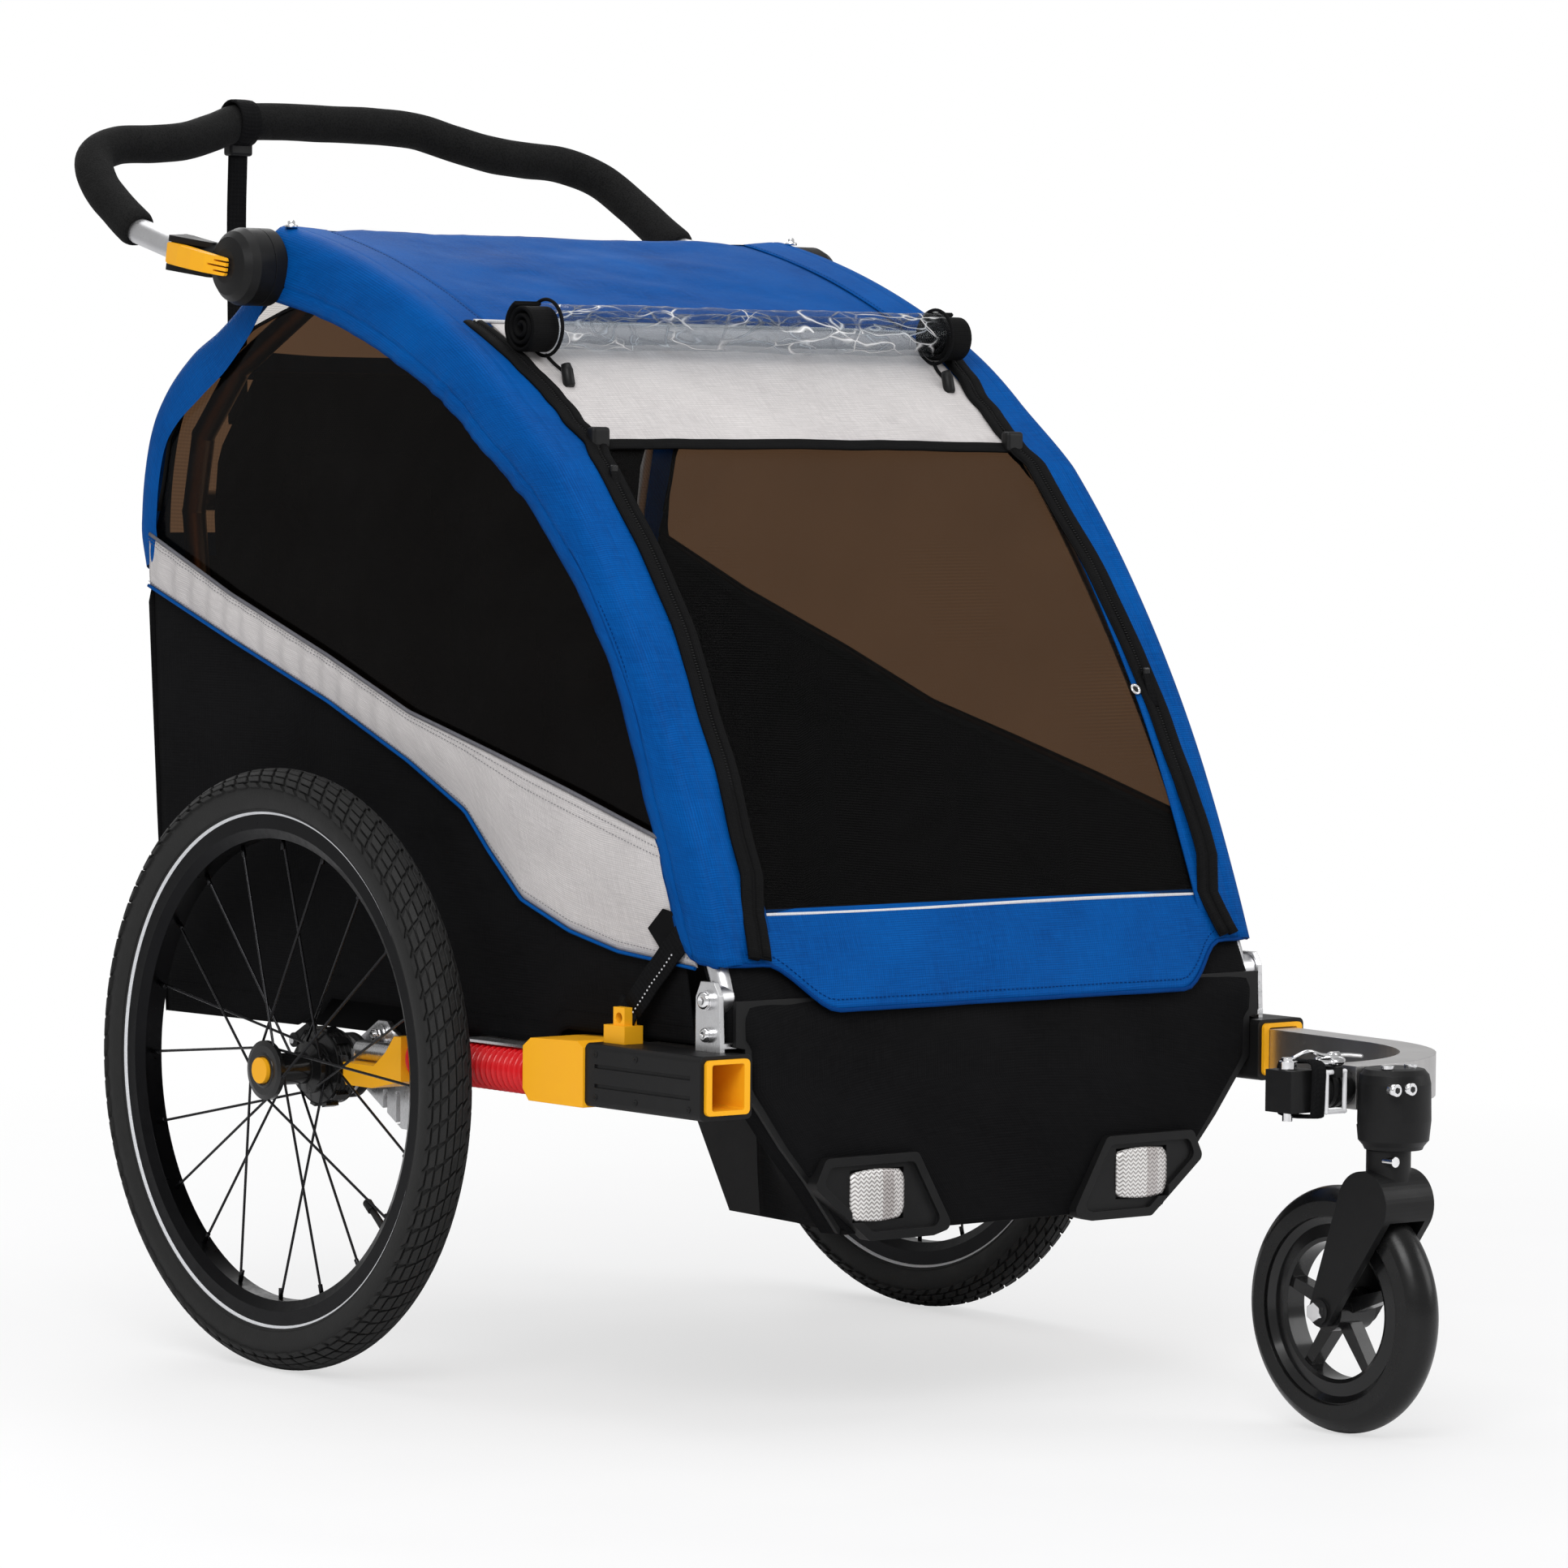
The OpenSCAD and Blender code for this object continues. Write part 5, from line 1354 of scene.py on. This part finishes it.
def nose_point(u, v):
    z = mix(147, 396, v)
    wide = table(NOSE_EDGE, z)
    a = 2 * u - 1
    lean = max(z - 316, 0) * 0.47
    wrap = smooth((abs(a) - 0.93) / 0.07)
    x = a * wide * 1.012
    swell = (1 - a * a) ** 0.5 * math.sin(math.pi * v) ** 0.6
    crease = 1.9 * ripple(x, 0, z * 0.45, 48, 2.0) + 1.0 * ripple(x, 0, z * 0.5, 21, 6.0)
    low = smooth((z - 150) / 26)
    y = -501.5 + lean - 3.0 * swell - crease * swell * low + 20 * wrap ** 1.6
    return (x, y, z)


def make_nose():
    nose = sheet_of("nose", grid(100, 60, nose_point), black_canvas)
    thicken(nose, 1.4, 1.0, False)
    parts = [nose]
    # bottom binding
    low = [(x, -500.5, 148) for x in range(-166, 167, 6)]
    parts.append(tube_of("nose_hem", low, 2.2, black_edging, sides=8))
    # its flanks run back round the foot well
    for s in (1, -1):
        def flank_point(u, v):
            z = mix(150, 262, v)
            wide = table(NOSE_EDGE, z) * 1.012
            well = table(((140, 157.5), (240, 165.5), (284, 225.5)), z)
            x = mix(wide, well, smooth(u) ** 0.8) + 1.2 * ripple(0, u * 91, z, 40, s)
            return (s * x, mix(-484, -392, u), z)

        flank = sheet_of("nose_flank", grid(13, 24, flank_point), black_canvas, flip=s < 0)
        thicken(flank, 1.2, -1.0, False)
        parts.append(flank)
    cloth_nose = join("nose_cloth", parts, "chassis")
    hang(cloth_nose)


make_nose()


# ---------- seat ----------

def swell_pad(o, cap):
    """Inflates a padded piece with a cloth simulation; no point moves further than cap."""
    o = settle(o)
    o.data.remesh_voxel_size = 0.0055
    with bpy.context.temp_override(active_object=o, object=o, selected_objects=[o]):
        bpy.ops.object.voxel_remesh()
    start = [v.co.copy() for v in o.data.vertices]
    m = o.modifiers.new("swell", "CLOTH")
    m.settings.use_pressure = True
    m.settings.uniform_pressure_force = 4.0
    m.settings.effector_weights.gravity = 0
    m.settings.quality = 4
    for f in range(1, 21):
        scene.frame_set(f)
    ready = o.evaluated_get(bpy.context.evaluated_depsgraph_get())
    ends = [v.co.copy() for v in ready.data.vertices]
    o.modifiers.remove(m)
    for v, a, b in zip(o.data.vertices, start, ends):
        d = b - a
        if d.length > cap * 0.001:
            d = d.normalized() * cap * 0.001
        v.co = a + d
    scene.frame_set(1)
    for f in o.data.polygons:
        f.use_smooth = True
    subdivide(o, 1)
    return settle(o)


def cushion(name, low, high, crown, finish, lean=0.0, round_off=16.0):
    """A closed cushion in a box: crowned faces, sides that pull in and soft edges."""
    (x0, y0, z0), (x1, y1, z1) = low, high
    cx, cy, cz = (x0 + x1) / 2, (y0 + y1) / 2, (z0 + z1) / 2
    hx, hy, hz = (x1 - x0) / 2, (y1 - y0) / 2, (z1 - z0) / 2
    b = bmesh.new()
    bmesh.ops.create_cube(b, size=2.0)
    bmesh.ops.subdivide_edges(b, edges=b.edges, cuts=13, use_grid_fill=True)
    for v in b.verts:
        u, w, h = v.co
        p = Vector((u * hx, w * hy, h * hz))
        inner = Vector((max(min(p.x, hx - round_off), round_off - hx),
                        max(min(p.y, hy - min(round_off, hy * 0.9)), min(round_off, hy * 0.9) - hy),
                        max(min(p.z, hz - min(round_off, hz * 0.9)), min(round_off, hz * 0.9) - hz)))
        d = p - inner
        if d.length > 1e-6:
            p = inner + d.normalized() * min(round_off, d.length)
        p.z += crown[2] * (1 - u * u) * (1 - w * w) * max(h, 0)
        p.y += crown[1] * (1 - u * u) * (1 - h * h) * min(w, 0)
        if abs(u) > 0.99:
            p.x -= 3.0 * u * (1 - w * w)
        x, y, z = cx + p.x, cy + p.y + lean * (p.z + hz), cz + p.z
        v.co = at(x, y, z)
    mesh = bpy.data.meshes.new(name)
    bmesh.ops.recalc_face_normals(b, faces=b.faces)
    b.to_mesh(mesh)
    b.free()
    mesh.materials.append(finish)
    mesh.polygons.foreach_set("use_smooth", [True] * len(mesh.polygons))
    return place(name, mesh)


def make_seat():
    for s in (1, -1):
        pad = cushion("seat_pad_" + side_name(s), (4 if s > 0 else -205, -190, 293),
                      (205 if s > 0 else -4, 172, 334), (0, 0, 9), black_pad)
        pad = swell_pad(pad, cap=5.0)
        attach(pad, "chassis")
    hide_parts("seat")
    for s in (1, -1):
        n = side_name(s)
        pad = cushion("back_pad_" + n, (5 if s > 0 else -204, 184, 342), (204 if s > 0 else -5, 212, 700),
                      (0, 8, 0), black_pad, lean=0.112, round_off=12)
        pad = swell_pad(pad, cap=5.0)
        head = cushion("head_pad_" + n, (28 if s > 0 else -182, 222, 596), (182 if s > 0 else -28, 246, 742),
                       (0, 9, 0), black_pad, round_off=34)
        head = swell_pad(head, cap=4.0)
        for o in (pad, head):
            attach(o, "rear_frame")
            fold_flat(o)
    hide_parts("seat_back")

    def panel_point(u, v):
        x, z = mix(-226, 226, u), mix(330, 806, v)
        y0 = table(((330, 246), (600, 260), (690, 268), (740, 262), (806, 208)), z)
        return (x, y0 - 5.0 * (1 - (x / 226) ** 2) + 1.6 * ripple(x, 0, z, 80, 4.0)
                + 0.7 * ripple(x, 0, z, 26, 1.0), z)

    # cloth behind the pads, stretched between the rear posts
    rows = grid(40, 32, panel_point)
    panel = sheet_of("seat_panel", rows, black_canvas)
    thicken(panel, 1.4, 1.0, False)
    panel = settle(panel)
    rim = tube_of("seat_panel_rim", rows[-1], 2.6, black_edging, sides=8)
    for o in (panel, rim):
        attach(o, "rear_frame")
        fold_flat(o)
    hang(panel)
    # harness straps, chest clips and buckles
    straps, clips = [], []
    for s in (1, -1):
        c = s * 104
        for d in (-26, 26):
            line = curve_through([(c + d * 0.8, 226, 640), (c + d, 205, 600), (c + d * 1.05, 190, 520),
                                  (c + d * 1.1, 178, 440), (c + d * 0.9, 160, 380)], 5)
            straps.append(ribbon_of("harness", line, (0, -1, 0.15), 24, 2.0, black_webbing))
        clips.append(box_of("chest_clip", (c - 24, 180, 520), (c + 24, 189, 546), moulded_black, None,
                            3.0, 3))
    harness = join("harness_straps", straps + clips, "rear_frame")
    fold_flat(harness)
    buckles = []
    for s in (1, -1):
        c = s * 104
        line = curve_through([(c, 40, 346), (c, 60, 352), (c, 84, 360)], 5)
        buckles.append(ribbon_of("crotch", line, (0, -0.3, 1), 26, 2.2, black_webbing))
        buckles.append(box_of("buckle", (c - 17, 78, 356), (c + 17, 118, 368), moulded_black, None, 4, 3))
        buckles.append(box_of("buckle_key", (c - 8, 90, 367), (c + 8, 108, 370.5), pedal_red, None, 2, 3))
    join("harness_buckles", buckles, "chassis")


make_seat()


# ---------- main wheels ----------

def crown_point(turn, lean, lift=0.0):
    """A point on the tyre's round section; lean is from its crown and turn round the wheel."""
    r = WHEEL_R - TYRE_R + (TYRE_R + lift) * math.cos(lean)
    return (WHEEL_X + (TYRE_R + lift) * math.sin(lean), r * math.cos(turn), WHEEL_R + r * math.sin(turn))


TREAD_STEPS = 84


def tread_segment(s):
    """The blocks of one step of the tread: a chevron of centre, shoulder and edge blocks."""
    step = 2 * math.pi / TREAD_STEPS
    blocks = []
    rows = ((0.0, 0.115, 0.0, 0.40), (0.29, 0.13, 0.34, 0.38), (0.58, 0.125, 0.68, 0.36),
            (0.87, 0.12, 0.92, 0.37), (1.14, 0.09, 1.10, 0.36))
    for lean, half, shift, length in rows:
        for side in ((1,) if lean == 0 else (1, -1)):
            c = side * lean
            corners = []
            for da, dl, skew in ((-1, -1, -0.16), (1, -1, -0.16), (1, 1, 0.16), (-1, 1, 0.16)):
                turn = (shift + (0.5 if side < 0 else 0.0) + da * length + skew * 1.2) * step
                corners.append((turn, c + dl * half))
            blocks.append(corners)
            if lean < 1.0:
                first = corners[0][0]
                blocks.append([(mix(first, turn, 0.55) + 0.5 * step, l) for turn, l in corners])
    points, faces = [], []
    for corners in blocks:
        base = len(points)
        mid_t = sum(t for t, _ in corners) / 4
        mid_l = sum(l for _, l in corners) / 4
        for lift, tuck in ((-1.0, 1.0), (1.15, 1.0), (1.75, 0.84)):
            for t, l in corners:
                points.append(crown_point(mix(mid_t, t, tuck), mix(mid_l, l, tuck), lift - 1.1))
        for k in range(4):
            m = (k + 1) % 4
            faces += [(base + k, base + m, base + 4 + m, base + 4 + k),
                      (base + 4 + k, base + 4 + m, base + 8 + m, base + 8 + k)]
        faces.append((base + 8, base + 9, base + 10, base + 11))
    points = [(s * x, y, z) for x, y, z in points]
    return outward(make_piece("tread_block", points, faces, tyre_rubber, soft=False))


def make_wheels():
    for s in (1, -1):
        n, body = side_name(s), "wheel_" + side_name(s)
        grow = TYRE_R - 1.9
        profile = [(s * (WHEEL_X + grow * math.sin(lean)), WHEEL_R - TYRE_R + grow * math.cos(lean))
                   for lean in (math.radians(-142 + 284 * k / 40) for k in range(41))]
        profile += [(s * (WHEEL_X + 11.5), 202.5), (s * (WHEEL_X - 11.5), 202.5)]
        carcass = turned("carcass", profile, (0, WHEEL_R), tyre_rubber, steps=144)
        tread = round_the_axle(tread_segment(s), TREAD_STEPS, (0, WHEEL_R), tyre_rubber)
        tyre = join("tyre_tread_" + n, [carcass, tread], body)
        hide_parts("tyre_" + n)
        # white reflective line and moulded lines on both sidewalls
        lines = []
        for side in (1, -1):
            for r, w, stuff in ((205.4, 3.7, sidewall_stripe), (210.6, 0.5, tyre_rubber),
                                (200.2, 0.6, tyre_rubber)):
                ring = []
                for dr in (-w, -w * 0.7, w * 0.7, w):
                    rr = r + dr
                    lean = math.acos(max(min((rr - (WHEEL_R - TYRE_R)) / grow, 1), -1))
                    skin = grow + (0.5 if abs(dr) < w * 0.8 else -0.3)
                    ring.append((s * (WHEEL_X + side * skin * math.sin(lean)),
                                 WHEEL_R - TYRE_R + skin * math.cos(lean)))
                ring += [(x - s * side * 0.6, r2) for x, r2 in reversed(ring)]
                lines.append(turned("line", ring, (0, WHEEL_R), stuff, steps=144))
        join("sidewall_lines_" + n, lines, body)
        nipple = tube_of("nipple", [(s * WHEEL_X, RIM_IN - 9, WHEEL_R), (s * WHEEL_X, RIM_IN - 8, WHEEL_R),
                                    (s * WHEEL_X, RIM_IN + 1, WHEEL_R)], 1.9, chrome, sides=8)
        nipples = round_the_axle(nipple, SPOKES, (0, WHEEL_R), spoke_black, body)
        nipples.name = "spoke_nipples_" + n
        a = math.radians(-39)

        def inside_rim(*depths):
            return [(s * WHEEL_X, -(RIM_IN - d) * math.cos(a), WHEEL_R + (RIM_IN - d) * math.sin(a))
                    for d in depths]

        parts = [tube_of("valve", inside_rim(-2, 4, 12, 26), lambda q: 3.4 - 0.6 * q, tyre_rubber,
                         sides=12),
                 tube_of("valve_cap", inside_rim(24, 25, 33, 34.5),
                         lambda q: 4.0 if q < 0.8 else 3.0, moulded_black, sides=10)]
        join("valve_" + n, parts, body)


make_wheels()


def make_hub_details():
    """Ribs, bolts and rings on the hubs, and the brake disc's black casing."""
    for s in (1, -1):
        n = side_name(s)
        x0 = s * (WHEEL_X + 18.5)
        ring = turned("cap_ring", [(x0, 10.9), (x0 + s * 0.9, 11.6), (x0 + s * 0.9, 13.4), (x0, 14.6),
                                   (x0 - s * 1.0, 14.6), (x0 - s * 1.0, 10.9)], (0, WHEEL_R),
                      glossy_black, steps=48)
        drum = []
        for dx in (0, 4.5, 9.0, 13.5, 18.0):
            xa = s * (WHEEL_X - 54 + dx)
            xb = xa + s * 1.4
            drum.append(turned("drum_rib", [(xa, 29.5), (xa, 30.2), (xb, 30.2), (xb, 29.5)],
                               (0, WHEEL_R), moulded_black, steps=60))
        join("hub_rings_" + n, [ring] + drum, "wheel_" + n)
        x1 = s * 266
        casing = turned("casing", [(x1, 8), (x1, 23), (x1 + s * 3, 26.5), (x1 + s * 10, 26.5),
                                   (x1 + s * 10, 25.2), (x1 + s * 11, 25.2), (x1 + s * 11, 8)],
                        (0, WHEEL_R), moulded_black, steps=60)
        bolt = slab("bolt", [(s * 262, -24 + 5.6 * math.cos(a), 269 + 5.6 * math.sin(a))
                             for a in around(6)], (s * 4.5, 0, 0), chrome, None, 0.8)
        tip = tube_of("bolt_tip", [(s * 266, -24, 269), (s * 268.5, -24, 269)], 3.0, chrome, sides=12)
        join("arm_casing_" + n, [casing, bolt, tip], "arm_" + n)


make_hub_details()


def make_springs():
    for s in (1, -1):
        n = side_name(s)
        y0, y1, ribs = -289.0, -118.5, 24
        steps = ribs * 8
        rows = []
        for k in range(steps + 1):
            q = k / steps
            y = mix(y0, y1, q)
            r = 15.6 + 2.3 * math.cos(2 * math.pi * (q * ribs - 0.5))
            rows.append([(s * SPRING_X + r * math.cos(a), y, SPRING_Z + r * math.sin(a))
                         for a in around(40)])
        inner = [[(s * SPRING_X + 9.8 * math.cos(a), y, SPRING_Z + 9.8 * math.sin(a))
                  for a in around(40)] for y in (y1, y0)]
        rows += inner
        rows.append(rows[0])
        spring = sheet_of("spring_ribs_" + n, rows, spring_red, ring=True)
        outward(spring, 0.001)
        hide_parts("spring_" + n)
        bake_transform(spring)


make_springs()


# ---------- handlebar grip ----------

GRIP_HALF = ((-290, 288, 926), (-289, 318, 943), (-286, 354, 966), (-272, 385, 990),
             (-240, 400, 1003), (-200, 402, 1006), (-165, 406, 1010), (-130, 416, 1019),
             (-95, 426, 1029), (-50, 431, 1032), (0, 432, 1032))


def make_grip():
    full = list(GRIP_HALF) + [(-x, y, z) for x, y, z in reversed(GRIP_HALF[:-1])]
    line = spaced(curve_through(full, 8), 220)

    def size(q):
        end = min(q, 1 - q) * 220
        lip = 0.4 + 0.6 * smooth(end / 1.6) if end < 1.6 else 1.0
        return 16.4 * (0.72 + 0.28 * lip) + 0.35 * noise.noise(Vector((q * 30, 0, 0)))

    grip = tube_of("foam_grip_sleeve", line, size, grip_foam, "handlebar", sides=36)
    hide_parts("handlebar_grip")


make_grip()


# ---------- reflectors and nose guards ----------

def make_reflectors():
    """Lenses of two flat panels with rounded corners, one in each corner guard."""
    lenses = []
    for s in (1, -1):
        def lens_point(u, v):
            w, h = 2 * u - 1, 2 * v - 1
            reach = 1 - max(abs(h) - 0.8, 0) ** 2 * 1.4
            tall = 19.4 - 2.2 * w * w - 2.6 * max(abs(w) - 0.86, 0) / 0.14
            panel = 1.2 if w < -0.92 else 0.0 if w < 0.1 else 2.6 * (w - 0.1)
            return (s * LENS_X + 26.4 * w * reach, -509.8 + panel + 1.2 * h ** 4 + 1.5 * w ** 6,
                    176 + tall * h)

        rows = grid(28, 20, lens_point)
        lens = sheet_of("lens", rows, prism_silver)
        thicken(lens, 2.6, 1.0, False)
        edge = rows[0] + [r[-1] for r in rows[1:-1]] + rows[-1][::-1] + [r[0] for r in rows[-2:0:-1]]
        lenses += [lens, tube_of("rim", edge, 0.8, prism_silver, sides=6, closed=True)]
    lenses = join("reflector_lenses", lenses, "chassis")
    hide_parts("reflectors")


make_reflectors()


# ---------- straps, hooks and hitch ----------

def make_hold_downs():
    """Webbing from under the cover's corners to the hooks, with a dotted reflective thread."""
    straps = []
    for s in (1, -1):
        line = [Vector(p) for p in ((s * 274.6, -448, 384), (s * 276.0, -439, 374), (s * 279.4, -431, 364),
                                    (s * 281.2, -422, 353), (s * 283.0, -411, 341), (s * 285.0, -401, 328),
                                    (s * 286.6, -393, 318))]
        out = (s, -0.2, 0.15)
        strap = ribbon_of("strap", line, out, 21, 2.2, black_webbing)
        low = line[-1]
        loop = ribbon_of("loop", [low, low + Vector((0, 4, -8)), low + Vector((0, 9, -9)),
                                  low + Vector((0, 12, -2)), low + Vector((0, 6, 6))], out, 14,
                         2.2, black_webbing)
        dots = bars_along("dots", [[(p + Vector((s * 1.9, -3.2, -2.4)), (s, 0, 0)) for p in line[2:]]],
                          3.7, (1.7, 1.7, 1.0), white_thread)
        end = slab("folded_end", [(s * 277.4, -401, 380), (s * 277.2, -419, 396), (s * 273.2, -439, 392),
                                  (s * 273.6, -439, 366), (s * 277.4, -418, 364)], (s * 1.6, 0, 0),
                   black_webbing, None, 0.5)
        straps.append(join("hold_down_" + side_name(s), [strap, loop, dots, end]))
    for o in straps:
        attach(o, "chassis")
        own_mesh(o)
    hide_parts("hold_down_straps")


make_hold_downs()


def make_hitch():
    y = TOW_END[1]
    parts = []
    ring = [(63, y + a, 267 + b) for a, b in ((-17.5, -19), (17.5, -19), (18.5, 0), (17.5, 20.5), (0, 21.5),
                                              (-17.5, 20.5), (-18.5, 0))]
    loop = curve_through(ring + [ring[0]], 4)[:-1]
    strap = tube_of("arm_strap", loop, 7.5, black_webbing, sides=12, flat=0.22, tilt=(1, 0, 0),
                    closed=True)
    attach(strap, "chassis")
    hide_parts("hitch_strap")
    # steel lanyard over the arm, with its crimps and quick link
    cable = curve_through([(50, y - 4, 292), (60, y - 10, 297), (78, y - 6, 293), (98, y + 4, 291),
                           (118, y + 8, 290), (136, y + 10, 288)], 6)
    parts.append(tube_of("lanyard", cable, 1.5, chrome, sides=8))
    link = [(84 + 13 * math.cos(a), y - 9 + 5.5 * math.sin(a), 289 + 1.5 * math.sin(a))
            for a in around(28)]
    parts.append(tube_of("link", link, 1.9, chrome, sides=8, closed=True))
    parts.append(tube_of("link_nut", [(80, y - 15, 288), (80.5, y - 15, 288), (90, y - 15, 288)], 3.2,
                         chrome, sides=6))
    parts.append(tube_of("crimp", [(95, y + 3, 291), (106, y + 5, 291)], 2.8, chrome, sides=10))
    join("hitch_lanyard", parts, "chassis")
    bolts = []
    for x in (97, 113):
        bolts.append(tube_of("bolt", [(x, -829, 270), (x, -836, 270)], 4.6, chrome, sides=20))
        bolts.append(tube_of("socket", [(x, -835.5, 270), (x, -836.4, 270)], 2.6, glossy_black, sides=6))
    join("clamp_bolts", bolts, "chassis")


make_hitch()


def make_screws():
    """Domed screws with a round recess on the brackets and housings."""
    heads = []
    for s in (1, -1):
        for y, z, r in ((-478, 330, 7.0), (-480, 304, 5.6)):
            x = s * 284.2
            dome = [(x, 0.01), (x, r), (x + s * 1.6, r * 0.92), (x + s * 3.0, r * 0.62),
                    (x + s * 3.2, r * 0.42), (x + s * 1.8, r * 0.38), (x + s * 1.8, 0.01)]
            heads.append(turned("head", dome, (y, z), chrome, steps=36))
        for y in (-495, -430, -380):
            for z in (283, 250):
                x = s * 312.2
                if (y, z) == (-495, 283):
                    continue
                dome = [(x - s * 0.6, 0.01), (x - s * 0.6, 2.6), (x + s * 0.5, 2.2), (x + s * 0.5, 0.9),
                        (x, 0.8), (x, 0.01)]
                heads.append(turned("pin", dome, (y, z), moulded_black, steps=20))
    join("screw_heads", heads, "chassis")
    tops = []
    for s in (1, -1):
        x, y = s * 265, 100
        tops.append(turned_up("stud", [(0.01, 925.5), (5.5, 925.5), (5.5, 927.5), (3.0, 928.2), (3.0, 930.5),
                                       (2.0, 931.8), (0.01, 932.0)], (x, y), chrome))
    join("roof_studs", tops, "bow_frame")


make_screws()


# ---------- finishes of the solids that stay as they are ----------

SOLID_FINISH = (
    (frame_silver, "side_rails cross_tubes bow_left bow_right rear_frame handlebar_tube"),
    (moulded_black, "socket_housings tub corner_guards hitch_connector caster_clamp brake_pawl_left "
                    "brake_pawl_right pivot_hubs handlebar_knuckles caster_fork"),
    (nylon_yellow, "socket_liners spring_caps cover_hooks spring_seat_left spring_seat_right "
                   "axle_button_left axle_button_right handlebar_lever_left handlebar_lever_right"),
    (plate_silver, "hinge_brackets suspension_arm_left suspension_arm_right"),
    (chrome, "frame_screws hitch_pin caster_bolts"),
    (arm_grey, "tow_arm"),
    (coated_wire, "hitch_ring"),
    (rim_black, "rim_left rim_right"),
    (spoke_black, "spokes_left spokes_right"),
    (glossy_black, "hub_left hub_right caster_rim"),
    (pedal_red, "brake_pedal"),
    (caster_rubber, "caster_tyre"),
    (black_webbing, "wrist_strap hold_down_straps hitch_strap"),
    (prism_silver, "reflectors"),
    (spring_red, "spring_left spring_right"),
    (tyre_rubber, "tyre_left tyre_right"),
    (blue_nylon, "cover_shell"),
    (front_net, "front_screen"),
    (pale_nylon, "sun_shade"),
    (clear_vinyl, "rain_roll"),
    (black_pad, "seat_back seat"),
    (black_canvas, "body_fabric"),
    (window_film, "side_windows"),
    (grip_foam, "handlebar_grip"),
)

for finish, nodes in SOLID_FINISH:
    for node in nodes.split():
        mesh = frame["nodes"][node].data
        if not mesh.materials:
            mesh.materials.append(finish)
        for k in range(len(mesh.materials)):
            mesh.materials[k] = finish


# ---------- studio ----------

def seen_directly(tree):
    """1 where the camera looks at something itself or through clear film, otherwise 0."""
    path = add(tree, "ShaderNodeLightPath").outputs
    return maths(tree, "MAXIMUM", path["Is Camera Ray"], path["Is Transmission Ray"])


def make_studio():
    m, t, s = new_finish("studio_floor")
    where = place_on(t, False)
    feed(t, s, Base_Color=(0.86, 0.86, 0.87, 1),
         Roughness=span(t, cloud(t, where, 6.0), 0.3, 0.7, 0.5, 0.6))
    lit = add(t, "ShaderNodeEmission", None, Color=(1, 1, 1, 1), Strength=1.0).outputs[0]
    far = add(t, "ShaderNodeVectorMath", {"operation": "LENGTH"}, i0=where).outputs["Value"]
    share = maths(t, "MULTIPLY", seen_directly(t), span(t, far, 0.9, 2.4, 0.62, 1.0))
    set_beside(t, s.outputs[0], lit, share)
    mesh = bpy.data.meshes.new("floor")
    mesh.from_pydata([(-25, -25, 0), (25, -25, 0), (25, 25, 0), (-25, 25, 0)], [], [(0, 1, 2, 3)])
    mesh.materials.append(m)
    place("floor", mesh)
    world = bpy.data.worlds.new("studio")
    world.use_nodes = True
    t = world.node_tree
    feed(t, t.nodes["Background"], Color=(1, 1, 1, 1),
         Strength=span(t, seen_directly(t), 0.0, 1.0, 0.5, 1.0))
    scene.world = world
    for name, spot, size, power in (("key", (-2.6, -2.4, 3.0), 2.2, 92.0),
                                    ("fill", (2.8, -2.6, 1.8), 2.0, 34.0),
                                    ("top", (0.0, 0.4, 3.6), 2.6, 36.0),
                                    ("back", (1.0, 3.0, 2.4), 2.0, 30.0)):
        lamp = bpy.data.lights.new(name, "AREA")
        lamp.size = size
        lamp.energy = power
        o = place(name, lamp)
        o.location = spot
        o.rotation_euler = (Vector((0, 0, 0.45)) - Vector(spot)).to_track_quat("-Z", "Y").to_euler()
    scene.view_settings.view_transform = "Standard"


make_studio()
